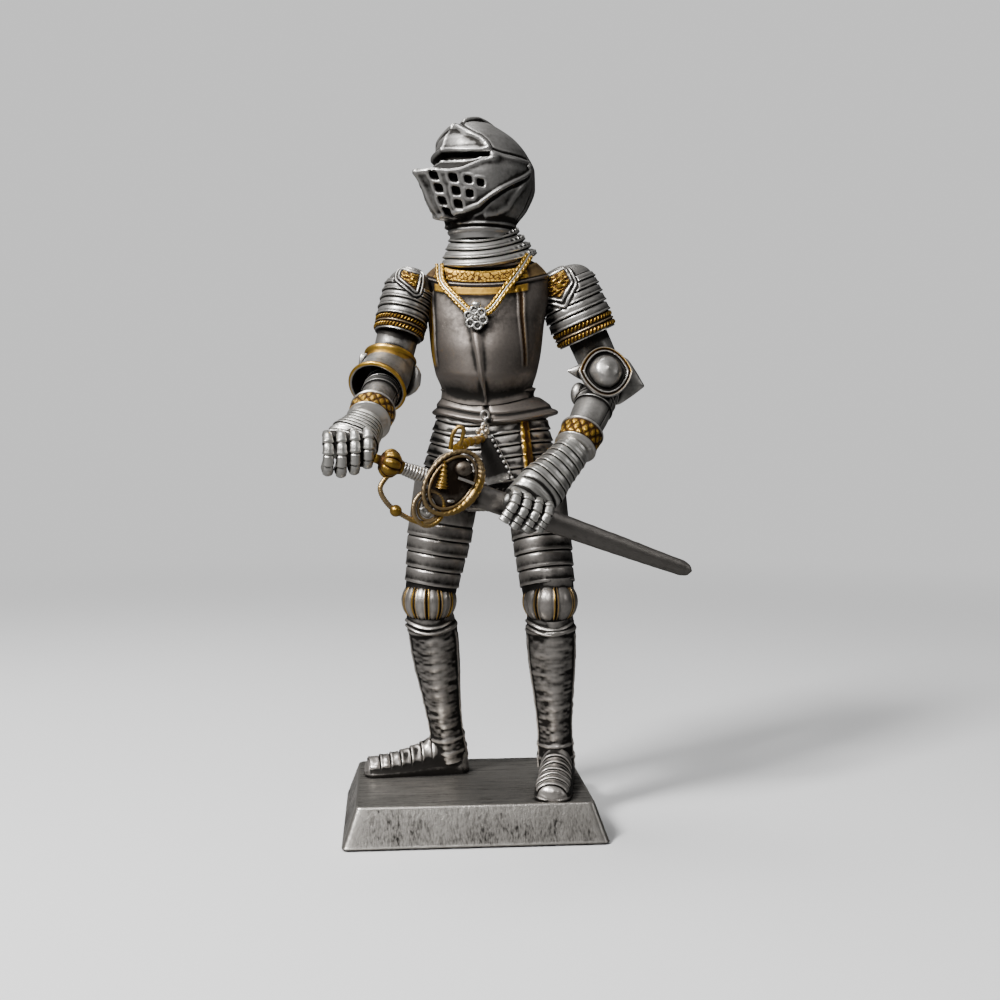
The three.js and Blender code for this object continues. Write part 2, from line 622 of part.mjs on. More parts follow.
/** The whole casting, hollowed where the hands hold the sword. */
function makeFigure() {
  const body = union([makeBody(), makeGorget(), makeCollar(), makeHelmet()]);
  const gripping = {
    knuckles: [-17.2, -15.9, 49.7],
    row: vec(1, 0.12, 0.1).normalize(),
    curl: vec(0, 0, -1),
    tips: [[0.2, 1], [-1.8, 0.9]],
  };
  const lying = {
    knuckles: [7.4, -10.9, 41.0],
    row: swordAxis,
    curl: vec(-0.5, -0.1, -0.86).normalize(),
    tips: [[1.1, 1]],
  };
  const rightArm = union([makeArm(arms.right), makeFist(arms.right.wrist, gripping)]);
  const leftArm = union([makeArm(arms.left), makeFist(arms.left.wrist, lying)]);
  const rightLeg = makeLeg(legs.right, [-15.4, 4.6, 0], [-0.2, 6.2, 0], 8);
  const leftLeg = makeLeg(legs.left, [10.2, -12.0, 0], [13.2, 3.2, 0], 8);
  return union([body, rightArm, leftArm, rightLeg, leftLeg]).subtract(makeSword(handGap));
}

/** A named mesh of one solid. */
function mesh(name, shape, material) {
  const { numProp, vertProperties, triVerts } = shape.getMesh();
  const geometry = new THREE.BufferGeometry();
  const buffer = new THREE.InterleavedBuffer(vertProperties, numProp);
  geometry.setAttribute('position', new THREE.InterleavedBufferAttribute(buffer, 3, 0));
  geometry.setIndex(new THREE.BufferAttribute(triVerts, 1));
  const made = new THREE.Mesh(geometry, material);
  made.name = name;
  return made;
}

const knight = new THREE.Group();
knight.add(
  mesh('plinth', makePlinth(), darkPewter),
  mesh('knight_figure', makeFigure(), pewter),
  mesh('sword', makeSword(), bladeSteel),
);

export default knight;
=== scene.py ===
import json
import logging
import math
from dataclasses import dataclass
from enum import Enum
from typing import Callable, Optional, Sequence

import bpy
import numpy as np
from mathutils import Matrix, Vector

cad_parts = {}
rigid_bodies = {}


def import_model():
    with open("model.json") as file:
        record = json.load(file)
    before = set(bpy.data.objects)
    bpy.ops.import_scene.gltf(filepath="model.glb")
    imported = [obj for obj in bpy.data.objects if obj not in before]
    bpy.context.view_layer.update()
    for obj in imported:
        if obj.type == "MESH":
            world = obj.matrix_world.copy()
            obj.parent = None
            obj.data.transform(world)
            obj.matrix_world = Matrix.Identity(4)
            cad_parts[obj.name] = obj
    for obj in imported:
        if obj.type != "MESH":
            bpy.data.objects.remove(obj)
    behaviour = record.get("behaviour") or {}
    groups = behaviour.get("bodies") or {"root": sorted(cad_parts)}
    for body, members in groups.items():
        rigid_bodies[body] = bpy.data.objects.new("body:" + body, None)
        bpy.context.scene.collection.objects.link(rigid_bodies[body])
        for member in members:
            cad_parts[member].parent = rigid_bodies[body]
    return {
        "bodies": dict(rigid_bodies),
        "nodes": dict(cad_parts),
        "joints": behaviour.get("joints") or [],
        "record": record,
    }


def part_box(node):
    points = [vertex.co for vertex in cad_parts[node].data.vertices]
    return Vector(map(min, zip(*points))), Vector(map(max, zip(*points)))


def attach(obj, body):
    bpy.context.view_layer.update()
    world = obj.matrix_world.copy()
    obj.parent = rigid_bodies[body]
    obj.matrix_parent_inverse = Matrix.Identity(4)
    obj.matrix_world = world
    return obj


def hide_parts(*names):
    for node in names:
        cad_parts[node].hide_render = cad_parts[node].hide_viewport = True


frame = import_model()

log = logging.getLogger("knight")
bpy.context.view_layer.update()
PLINTH_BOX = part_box("plinth")
FIGURE_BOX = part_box("knight_figure")

# The figure is measured in parts: its height is 96 of them, and its origin is on the plinth's top.
PART = (FIGURE_BOX[1][2] - PLINTH_BOX[1][2]) / 96
FOOTING = np.array([0.00015, 0.0000236, PLINTH_BOX[1][2]])

Array = np.ndarray
Object = bpy.types.Object
Socket = bpy.types.NodeSocket
Point = Sequence[float]
FRONT = np.array([0.0, -1.0, 0.0])
UP = np.array([0.0, 0.0, 1.0])


def unit(vectors: Array) -> Array:
    """Vectors scaled to length one, along the last axis."""
    vectors = np.asarray(vectors, float)
    return vectors / np.maximum(np.linalg.norm(vectors, axis=-1, keepdims=True), 1e-12)


def step(low: float, high: float, value: Array) -> Array:
    """A smooth step from 0 at low to 1 at high."""
    share = np.clip((value - low) / (high - low), 0, 1)
    return share * share * (3 - 2 * share)


def hump(value: Array, centre: float, half: float) -> Array:
    """A soft hump of height 1 at centre that fades out about half to each side."""
    return np.exp(-(((value - centre) / half) ** 2))


def plateau(value: Array, low: float, high: float, soft: float) -> Array:
    """1 between low and high, with edges as wide as soft."""
    return step(low - soft, low + soft, value) * (1 - step(high - soft, high + soft, value))


def rounded(value: Array, power: float) -> Array:
    """Distance along one axis of a superellipse."""
    return np.sign(value) * np.abs(value) ** (2 / power)


def follow(table: Sequence[Sequence[float]], at: Array) -> Array:
    """Reads a table of stations with a smooth curve through them.

    Args:
        table: rows of [station, value, ...], by rising or falling station.
        at: the stations to read.

    Returns:
        One row per wanted station, with the table's values without the station.
    """
    rows = np.asarray(table, float)
    if rows[0, 0] > rows[-1, 0]:
        rows = rows[::-1]
    x, y = rows[:, 0], rows[:, 1:]
    gap = np.maximum(np.diff(x), 1e-9)
    slope = np.diff(y, axis=0) / gap[:, None]
    tangent = np.zeros_like(y)
    same = slope[:-1] * slope[1:] > 0
    mean = 2 * slope[:-1] * slope[1:] / np.where(same, slope[:-1] + slope[1:], 1)
    tangent[1:-1] = np.where(same, mean, 0)
    tangent[0], tangent[-1] = slope[0], slope[-1]
    at = np.clip(np.asarray(at, float), x[0], x[-1])
    i = np.clip(np.searchsorted(x, at, side="right") - 1, 0, len(x) - 2)
    s = ((at - x[i]) / gap[i])[:, None]
    a, b = y[i], y[i + 1]
    ta, tb = tangent[i] * gap[i][:, None], tangent[i + 1] * gap[i][:, None]
    return a + s * ta + s**2 * (3 * (b - a) - 2 * ta - tb) + s**3 * (2 * (a - b) + ta + tb)


def curve(points: Sequence[Point], share: Array) -> Array:
    """A smooth line through points.

    Args:
        points: what the line runs through; every span between two of them is an equal share.
        share: places on the line, from 0 at its start to 1 at its end.

    Returns:
        One point for each share.
    """
    p = np.asarray(points, float)
    if len(p) == 2:
        return p[0] + (p[1] - p[0]) * np.asarray(share)[:, None]
    spans = len(p) - 1
    x = np.clip(np.asarray(share, float), 0, 1) * spans
    i = np.minimum(x.astype(int), spans - 1)
    s = (x - i)[:, None]
    ends = np.vstack([2 * p[0] - p[1], p, 2 * p[-1] - p[-2]])
    a, b, c, d = (ends[i + k] for k in range(4))
    return 0.5 * (2 * b + (c - a) * s + (2 * a - 5 * b + 4 * c - d) * s**2 + (3 * b - a - 3 * c + d) * s**3)


def distance_to(line: Sequence[Point], x: Array, y: Array) -> Array:
    """Distance of flat points from a bent line.

    Args:
        line: corners of the line.
        x: first coordinates of the points.
        y: second coordinates of the points.

    Returns:
        The distance of each point from the nearest place on the line.
    """
    best = np.full(x.shape, np.inf)
    for (x0, y0), (x1, y1) in zip(line[:-1], line[1:]):
        dx, dy = x1 - x0, y1 - y0
        s = np.clip(((x - x0) * dx + (y - y0) * dy) / (dx * dx + dy * dy), 0, 1)
        best = np.minimum(best, np.hypot(x - x0 - s * dx, y - y0 - s * dy))
    return best


def inside(outline: Sequence[Point], x: Array, y: Array) -> Array:
    """Signed distance of flat points from a closed outline.

    Args:
        outline: corners of the outline.
        x: first coordinates of the points.
        y: second coordinates of the points.

    Returns:
        The distance of each point from the outline, above zero inside it.
    """
    within = np.zeros(x.shape, bool)
    corners = list(outline) + [outline[0]]
    for (x0, y0), (x1, y1) in zip(corners[:-1], corners[1:]):
        crosses = (y0 > y) != (y1 > y)
        rise = y1 - y0 if y1 != y0 else 1e-9
        within ^= crosses & (x < (x1 - x0) * (y - y0) / rise + x0)
    return np.where(within, 1, -1) * distance_to(corners, x, y)


def wrinkle(turn: Array, along: Array, columns: int, rows: int, seed: int) -> Array:
    """Smooth seeded unevenness round a piece, from -1 to 1.

    Args:
        turn: angle round the piece.
        along: place along it, from 0 to 1.
        columns: number of cells round the piece.
        rows: number of cells along it.
        seed: picks the pattern.

    Returns:
        One value for each point.
    """
    grid = np.random.default_rng(seed).uniform(-1, 1, (rows + 2, columns))
    x = (turn / math.tau % 1) * columns
    y = np.clip(along, 0, 1) * rows
    i, j = x.astype(int), np.minimum(y.astype(int), rows)
    across, down = step(0, 1, x - i), step(0, 1, y - j)
    left, right = i % columns, (i + 1) % columns
    upper = grid[j, left] * (1 - across) + grid[j, right] * across
    lower = grid[j + 1, left] * (1 - across) + grid[j + 1, right] * across
    return upper * (1 - down) + lower * down


class Relief:
    """What is carved and painted on a surface: height in parts, and masks from 0 to 1."""

    def __init__(self, turn: Array, share: Array) -> None:
        """Starts with a plain surface.

        Args:
            turn: angle round the piece from its front, for each point.
            share: place along the piece, for each point.
        """
        self.turn = turn
        self.share = share
        self.height = np.zeros_like(turn)
        self.gilt = np.zeros_like(turn)
        self.etch = np.zeros_like(turn)
        self.dark = np.zeros_like(turn)

    def gild(self, mask: Array) -> None:
        """Adds gold paint where mask is above what is there."""
        self.gilt = np.maximum(self.gilt, mask)

    def darken(self, mask: Array) -> None:
        """Darkens where mask is above what is there: patina on most surfaces, painted shade on some."""
        self.dark = np.maximum(self.dark, mask)

    def lames(self, low: float, high: float, count: int, rise: float, where: Array | float = 1) -> None:
        """Overlapping plates with a rolled lower edge.

        Args:
            low: share where the first plate starts.
            high: share where the last plate ends.
            count: number of plates.
            rise: how far the lip of a plate stands over the next one, in parts.
            where: mask of the part of the surface that has them.
        """
        s = (self.share - low) / (high - low) * count
        on = plateau(s, 0, count, 0.01) * where
        f = s - np.floor(s)
        plate = 0.7 * step(0, 0.18, f) + 0.25 * f + 0.22 * hump(f, 0.86, 0.1)
        self.height += on * rise * (plate * (1 - step(0.95, 1, f)) - 0.3)

    def rim(self, at: float, half: float, rise: float, gilt: float) -> None:
        """A round raised edge.

        Args:
            at: share of its middle.
            half: half its width, as a share.
            rise: its height in parts.
            gilt: share of gold paint on it.
        """
        mask = hump(self.share, at, half)
        self.height += rise * mask
        self.gild(gilt * step(0.25, 0.6, mask))

    def rope(self, at: float, half: float, rise: float, twists: int) -> None:
        """A twisted gilt rope round the piece.

        Args:
            at: share of its middle.
            half: half its width, as a share.
            rise: its height in parts.
            twists: number of strands seen round the piece.
        """
        across = (self.share - at) / half
        mask = np.sqrt(np.clip(1 - across**2, 0, 1))
        strand = 0.6 + 0.4 * np.cos(self.turn * twists + across * 2.2)
        self.height += rise * mask * strand
        self.gild(step(0.05, 0.3, mask))

    def panel(self, mask: Array, rise: float, gilt: float, etch: float) -> None:
        """A flat ornamented field.

        Args:
            mask: 1 on the field and 0 off it.
            rise: its height in parts.
            gilt: share of gold paint on it.
            etch: depth of the scrollwork etched in it, from 0 to 1.
        """
        self.height += rise * mask
        self.gild(gilt * mask)
        self.etch = np.maximum(self.etch, etch * mask)


# A base gives points in parts for turns about its front and shares of its length or its heights.
Base = Callable[[Array, Array], Array]
Carving = Callable[[Relief], None]


def coat(gilt: float, dark: float) -> Carving:
    """A carving that only paints: shares of gold and patina all over the piece."""

    def paint(relief: Relief) -> None:
        """Fills both masks."""
        relief.gilt[:] = gilt
        relief.dark[:] = dark

    return paint


def even(size: float) -> Callable[[Array], Array]:
    """A half-thickness that stays the same along a bar."""
    return lambda share: np.full(share.shape, size)


class Bench:
    """The modelling bench: adds primitives, shapes, joins and finishes them."""

    LAYERS = ("gilt", "etch", "dark")
    DOUBLES = 1e-7
    FINE_TURNS = 8
    BROAD_TURNS = 40
    FINE_HEIGHT = 0.000035
    BROAD_HEIGHT = 0.00012

    @staticmethod
    def clear() -> None:
        """Deselects everything."""
        bpy.ops.object.select_all(action="DESELECT")

    @classmethod
    def take(cls, piece: Object) -> None:
        """Selects one piece alone and makes it the active one."""
        cls.clear()
        piece.select_set(True)
        bpy.context.view_layer.objects.active = piece

    @classmethod
    def faces_out(cls, piece: Object) -> None:
        """Merges a piece's doubles and turns all its faces outwards.

        Args:
            piece: the object to work on.
        """
        cls.take(piece)
        bpy.ops.object.mode_set(mode="EDIT")
        bpy.ops.mesh.select_all(action="SELECT")
        bpy.ops.mesh.remove_doubles(threshold=cls.DOUBLES)
        bpy.ops.mesh.normals_make_consistent(inside=False)
        bpy.ops.object.mode_set(mode="OBJECT")

    @classmethod
    def store(cls, piece: Object, **layers: Array) -> None:
        """Writes masks as point attributes.

        Args:
            piece: the object to write them on.
            layers: one value for each point by the mask's name; the others are zero.
        """
        count = len(piece.data.vertices)
        for name in cls.LAYERS:
            values = np.asarray(layers.get(name, np.zeros(count)), np.float32)
            cls.layer(piece, name).data.foreach_set("value", values)

    @staticmethod
    def layer(piece: Object, name: str) -> bpy.types.Attribute:
        """The point attribute of that name, made if it isn't there."""
        attributes = piece.data.attributes
        return attributes.get(name) or attributes.new(name, "FLOAT", "POINT")

    @classmethod
    def loft(
        cls,
        name: str,
        base: Base,
        levels: Array,
        around: int,
        carve: Optional[Carving] = None,
        crowd: float = 0,
    ) -> Object:
        """Shapes a ball into a closed form by moving its rings of points.

        Args:
            name: name of the new object.
            base: gives points in parts for turns and shares.
            levels: shares of the rings, from the first end to the last.
            around: points in each ring.
            carve: adds relief and paint to the surface.
            crowd: above zero, points crowd together round the front.

        Returns:
            The finished object, with its place in its mesh.
        """
        cls.clear()
        bpy.ops.mesh.primitive_uv_sphere_add(segments=around, ring_count=len(levels) + 1, radius=1)
        piece = bpy.context.object
        piece.name = name
        mesh = piece.data
        count = len(mesh.vertices)
        co = np.empty(count * 3)
        mesh.vertices.foreach_get("co", co)
        co = co.reshape(-1, 3)
        ring = np.rint(np.arccos(np.clip(co[:, 2], -1, 1)) / math.pi * (len(levels) + 1)).astype(int)
        turn = np.arctan2(co[:, 0], -co[:, 1])
        turn = turn - crowd * np.sin(turn)
        body = (ring > 0) & (ring <= len(levels))
        share = np.asarray(levels, float)[ring[body] - 1]
        turn = turn[body]
        points = base(turn, share)
        relief = Relief(turn, share)
        if carve is not None:
            span = levels[-1] - levels[0]
            du, dt = 0.01, span * 0.002
            along = base(turn, np.clip(share + dt, min(levels), max(levels)))
            along -= base(turn, np.clip(share - dt, min(levels), max(levels)))
            round_ = base(turn + du, share) - base(turn - du, share)
            normal = unit(np.cross(round_, along))
            inward = base(turn + math.pi, share) - points
            normal *= -np.sign((normal * inward).sum(1).mean())
            carve(relief)
            points = points + normal * relief.height[:, None]
        moved = np.empty((count, 3))
        moved[body] = points
        layers = {}
        for layer in cls.LAYERS:
            values = np.zeros(count)
            values[body] = np.clip(getattr(relief, layer), 0, 1)
            layers[layer] = values
        for pole, level in ((0, 1), (len(levels) + 1, len(levels))):
            near = ring[body] == level
            moved[ring == pole] = points[near].mean(0)
            for layer in cls.LAYERS:
                layers[layer][ring == pole] = layers[layer][body][near].mean()
        mesh.vertices.foreach_set("co", (moved * PART + FOOTING).ravel())
        cls.store(piece, **layers)
        cls.faces_out(piece)
        return piece

    @classmethod
    def dome(
        cls, name: str, centre: Point, look: Point, size: Point, gilt: float = 0, dark: float = 0
    ) -> Object:
        """A small round stud: a squeezed and turned ball.

        Args:
            name: name of the new object.
            centre: its middle in parts.
            look: the way that it points.
            size: half-sizes across, out and up, in parts.
            gilt: share of gold paint on it.
            dark: share of dark paint on it, patina on most studs and painted shade on the plates set in
                shadow.

        Returns:
            The finished object.
        """
        ahead = unit(np.array(look, float))
        side = unit(np.cross(ahead, UP))
        rise = np.cross(side, ahead)

        def base(turn: Array, share: Array) -> Array:
            """Rings from the front pole to the back one."""
            out = np.cos(share * math.pi)[:, None] * size[1]
            ring = np.sin(share * math.pi)[:, None]
            across = np.sin(turn)[:, None] * size[0] * ring
            high = np.cos(turn)[:, None] * size[2] * ring
            return np.array(centre) + ahead * out + side * across + rise * high

        return cls.loft(name, base, np.linspace(0.04, 0.96, 15), 24, coat(gilt, dark))

    @classmethod
    def cord(
        cls,
        name: str,
        points: Sequence[Point],
        radius: Callable[[Array], Array],
        steps: int = 60,
        around: int = 12,
        carve: Optional[Carving] = None,
    ) -> Object:
        """A round bar along a line of points in parts, with rounded ends.

        Args:
            name: name of the new object.
            points: the line.
            radius: half-thickness in parts for shares of the line.
            steps: rings along the line.
            around: points in each ring.
            carve: adds relief and paint.

        Returns:
            The finished object.
        """
        line = np.asarray(points, float)
        fine = np.linspace(0, 1, 400)
        path = curve(line, fine)
        tangent = unit(np.gradient(path, axis=0))
        side = np.zeros_like(tangent)
        guess = unit(np.cross(tangent[0], UP if abs(tangent[0][2]) < 0.9 else FRONT))
        for i, along in enumerate(tangent):
            guess = unit(guess - along * guess.dot(along))
            side[i] = guess
        rise = np.cross(tangent, side)

        def base(turn: Array, share: Array) -> Array:
            """Rings round the line."""
            middle, across, up = (
                np.stack([np.interp(share, fine, values[:, k]) for k in range(3)], 1)
                for values in (path, side, rise)
            )
            spoke = np.cos(turn)[:, None] * across + np.sin(turn)[:, None] * up
            return middle + radius(share)[:, None] * spoke

        rows = [[0, 0.004, 0.015], np.linspace(0.03, 0.97, steps), [0.985, 0.996, 1]]
        return cls.loft(name, base, np.unique(np.concatenate(rows)), around, carve)

    @classmethod
    def join(cls, name: str, pieces: Sequence[Object]) -> Object:
        """Joins pieces into one object.

        Args:
            name: name of the whole.
            pieces: what to join.

        Returns:
            The joined object.
        """
        cls.clear()
        for piece in pieces:
            piece.select_set(True)
        bpy.context.view_layer.objects.active = pieces[0]
        if len(pieces) > 1:
            bpy.ops.object.join()
        whole = bpy.context.view_layer.objects.active
        whole.name = name
        whole.data.name = name
        return whole

    @classmethod
    def weld(cls, name: str, pieces: Sequence[Object]) -> Object:
        """Unites closed pieces into one skin with a boolean modifier each.

        Args:
            name: name of the whole.
            pieces: closed meshes; the first one takes up the others.

        Returns:
            The united object.
        """
        whole = pieces[0]
        for other in pieces[1:]:
            cls.take(whole)
            union = whole.modifiers.new("weld", "BOOLEAN")
            union.operation = "UNION"
            union.solver = "MANIFOLD"
            union.object = other
            bpy.ops.object.modifier_apply(modifier=union.name)
            bpy.data.objects.remove(other, do_unlink=True)
        whole.name = name
        whole.data.name = name
        return whole

    @classmethod
    def antique(cls, piece: Object) -> None:
        """Measures how far each point stands out of its surroundings.

        Args:
            piece: the object whose relief attribute is written.
        """
        mesh = piece.data
        count = len(mesh.vertices)
        co = np.empty(count * 3)
        mesh.vertices.foreach_get("co", co)
        co = co.reshape(-1, 3)
        normal = np.empty(count * 3)
        mesh.vertices.foreach_get("normal", normal)
        normal = normal.reshape(-1, 3)
        ends = np.empty(len(mesh.edges) * 2, np.int64)
        mesh.edges.foreach_get("vertices", ends)
        a, b = ends.reshape(-1, 2).T
        degree = np.maximum(np.bincount(a, minlength=count) + np.bincount(b, minlength=count), 1)

        def spread(values: Array) -> Array:
            """Each point's values, half their own and half the mean of its neighbours'."""
            total = np.stack([
                np.bincount(a, column[b], minlength=count) + np.bincount(b, column[a], minlength=count)
                for column in values.T
            ], 1)
            return 0.5 * values + 0.5 * total / degree[:, None]

        smooth = co
        heights = []
        for turns in (cls.FINE_TURNS, cls.BROAD_TURNS - cls.FINE_TURNS):
            for _ in range(turns):
                smooth = spread(smooth)
            heights.append(((co - smooth) * normal).sum(1))
        fine, broad = heights
        relief = np.clip(fine / cls.FINE_HEIGHT, -1, 1) * 0.55
        relief = relief + np.clip(broad / cls.BROAD_HEIGHT, -1, 1) * 0.6
        relief = spread(relief[:, None])[:, 0]
        cls.layer(piece, "relief").data.foreach_set("value", relief.astype(np.float32))

    @classmethod
    def finish(cls, piece: Object, node: str, finish: "Finish", slot: str, sharp: float = 60) -> None:
        """Shades and dresses a piece, and puts it on the body in the stead of a CAD node.

        Args:
            piece: the modelled object.
            node: name of the CAD node that it replaces.
            finish: what it is made of.
            slot: the part's material slot; not used.
            sharp: edges above this angle in degrees stay sharp.
        """
        cls.take(piece)
        bpy.ops.object.shade_smooth_by_angle(angle=math.radians(sharp))
        cls.antique(piece)
        piece.data.materials.clear()
        piece.data.materials.append(finish.material())
        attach(piece, "root")
        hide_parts(node)
        triangles = sum(len(face.vertices) - 2 for face in piece.data.polygons)
        log.info("%s: %d triangles, %s", piece.name, triangles, finish.name)


class Tone(Enum):
    """How far a casting was rubbed back after its dark patina."""

    BRIGHT = "bright"
    SATIN = "satin"
    SMOKED = "smoked"
    DUSKY = "dusky"
    OXIDISED = "oxidised"
    STEEL = "steel"
    TARNISHED = "tarnished"
    BRUSHED = "brushed"


class Patina:
    """The shader group that every metal shares: dark hollows with painted shade between parts, rubbed
    edges, gold paint, etching.
    """

    NAME = "Antiquing"

    @classmethod
    def group(cls) -> bpy.types.NodeTree:
        """Builds the group once.

        Returns:
            The group, from the second call on the one that is there.
        """
        found = bpy.data.node_groups.get(cls.NAME)
        if found:
            return found
        tree = bpy.data.node_groups.new(cls.NAME, "ShaderNodeTree")
        colour, number = "NodeSocketColor", "NodeSocketFloat"
        sockets = (
            ("INPUT", colour, ("Metal", "Shade", "Gold", "Umber")),
            ("INPUT", number, ("Soot", "Mottle")),
            ("OUTPUT", colour, ("Color",)),
            ("OUTPUT", number, ("Roughness", "Height")),
        )
        for way, kind, names in sockets:
            for name in names:
                tree.interface.new_socket(name, in_out=way, socket_type=kind)
        sheet = Nodes(tree)
        entry = sheet.add("NodeGroupInput")
        leave = sheet.add("NodeGroupOutput")
        where = sheet.add("ShaderNodeTexCoord").outputs["Object"]
        relief, gilt, etch, dark = (sheet.attribute(name) for name in ("relief", *Bench.LAYERS))

        cloud = sheet.noise(where, 260, 4)
        speck = sheet.noise(where, 1700, 3)
        grit = sheet.noise(where, 5200, 2)
        scroll = sheet.add("ShaderNodeTexVoronoi")
        scroll.feature = "DISTANCE_TO_EDGE"
        warp = sheet.add("ShaderNodeVectorMath")
        warp.operation = "MULTIPLY_ADD"
        whirl = sheet.add("ShaderNodeTexNoise")
        whirl.inputs["Scale"].default_value = 900
        sheet.plug(where, whirl.inputs["Vector"])
        sheet.plug(whirl.outputs["Color"], warp.inputs[0])
        warp.inputs[1].default_value = (0.0011, 0.0011, 0.0011)
        sheet.plug(where, warp.inputs[2])
        sheet.plug(warp.outputs[0], scroll.inputs["Vector"])
        scroll.inputs["Scale"].default_value = 1650
        leaf = sheet.ramp(scroll.outputs["Distance"], 0.03, 0.15)
        carved = sheet.math("MULTIPLY", etch, sheet.math("SUBTRACT", 1, leaf))

        # Ambient occlusion darkens hollows and the gaps between parts: patina in the hollows, and painted
        # shade where one part shades another.
        shadow = sheet.add("ShaderNodeAmbientOcclusion")
        shadow.inputs["Distance"].default_value = 0.0022
        shadow.samples = 8
        hollow = sheet.ramp(shadow.outputs["AO"], 0.95, 0.35)
        low = sheet.math("MULTIPLY", relief, -1.0)
        soot = sheet.math("ADD", entry.outputs["Soot"], low)
        soot = sheet.math("ADD", soot, sheet.math("MULTIPLY", hollow, 0.62))
        mottle = sheet.math("MULTIPLY", sheet.math("SUBTRACT", cloud, 0.5), entry.outputs["Mottle"])
        soot = sheet.math("ADD", soot, sheet.math("MULTIPLY", mottle, 2))
        soot = sheet.math("ADD", soot, sheet.math("MULTIPLY", sheet.math("SUBTRACT", speck, 0.5), 0.5))
        soot = sheet.math("ADD", soot, sheet.math("MULTIPLY", carved, 0.85))
        # The dark layer adds patina, and painted shade on the pieces whose dark mask stands for shade.
        soot = sheet.math("ADD", soot, sheet.math("MULTIPLY", dark, 1.2), clamp=True)

        silver = sheet.mix(soot, entry.outputs["Metal"], entry.outputs["Shade"])
        gold = sheet.mix(soot, entry.outputs["Gold"], entry.outputs["Umber"])
        rubbed = sheet.ramp(sheet.math("ADD", relief, sheet.math("MULTIPLY", cloud, 0.8)), 2.1, 1.5)
        painted = sheet.math("MULTIPLY", gilt, rubbed)
        colour = sheet.mix(painted, silver, gold)
        sheet.plug(colour, leave.inputs["Color"])
        rough = sheet.math("ADD", sheet.math("MULTIPLY", soot, 0.26), sheet.math("MULTIPLY", speck, 0.16))
        rough = sheet.math("ADD", rough, 0.24, clamp=True)
        sheet.plug(rough, leave.inputs["Roughness"])
        height = sheet.math("ADD", sheet.math("MULTIPLY", grit, 0.25), sheet.math("MULTIPLY", speck, 0.5))
        height = sheet.math("SUBTRACT", height, sheet.math("MULTIPLY", carved, 2.2))
        sheet.plug(height, leave.inputs["Height"])
        return tree


class Nodes:
    """A sheet of shader nodes with short ways to add the usual ones."""

    def __init__(self, tree: bpy.types.NodeTree) -> None:
        """tree is the node tree that the nodes are added to."""
        self.tree = tree

    def add(self, kind: str) -> bpy.types.Node:
        """Adds a node of a kind."""
        return self.tree.nodes.new(kind)

    def plug(self, value: object, socket: Socket) -> None:
        """Links an output to a socket, or sets a plain number on it."""
        if isinstance(value, (int, float, tuple)):
            socket.default_value = value
        else:
            self.tree.links.new(value, socket)

    def attribute(self, name: str) -> Socket:
        """Reads a point attribute as a number."""
        node = self.add("ShaderNodeAttribute")
        node.attribute_name = name
        return node.outputs["Fac"]

    def noise(self, where: Socket, scale: float, detail: float) -> Socket:
        """Noise.

        Args:
            where: the coordinate that it is read at.
            scale: number of its cells in a metre.
            detail: octaves of finer noise in it.

        Returns:
            The noise.
        """
        node = self.add("ShaderNodeTexNoise")
        node.inputs["Scale"].default_value = scale
        node.inputs["Detail"].default_value = detail
        self.tree.links.new(where, node.inputs["Vector"])
        return node.outputs["Fac"]

    def math(self, operation: str, first: object, second: object, clamp: bool = False) -> Socket:
        """One sum.

        Args:
            operation: Blender's name of the sum.
            first: a number or an output.
            second: a number or an output.
            clamp: whether the result is held between 0 and 1.

        Returns:
            The result.
        """
        node = self.add("ShaderNodeMath")
        node.operation = operation
        node.use_clamp = clamp
        self.plug(first, node.inputs[0])
        self.plug(second, node.inputs[1])
        return node.outputs[0]

    def ramp(self, value: Socket, low: float, high: float) -> Socket:
        """Maps low to 0 and high to 1, smoothly and clamped.

        Args:
            value: the output to map.
            low: what becomes 0.
            high: what becomes 1; it may be below low.

        Returns:
            The mapped value.
        """
        node = self.add("ShaderNodeMapRange")
        node.interpolation_type = "SMOOTHSTEP"
        node.inputs["From Min"].default_value = low
        node.inputs["From Max"].default_value = high
        self.tree.links.new(value, node.inputs["Value"])
        return node.outputs["Result"]

    def mix(self, share: object, first: object, second: object) -> Socket:
        """Mixes two colours.

        Args:
            share: 0 for the first colour, 1 for the second.
            first: a colour or an output.
            second: a colour or an output.

        Returns:
            The mixed colour.
        """
        node = self.add("ShaderNodeMix")
        node.data_type = "RGBA"
        self.plug(share, node.inputs[0])
        self.plug(first, node.inputs[6])
        self.plug(second, node.inputs[7])
        return node.outputs[2]


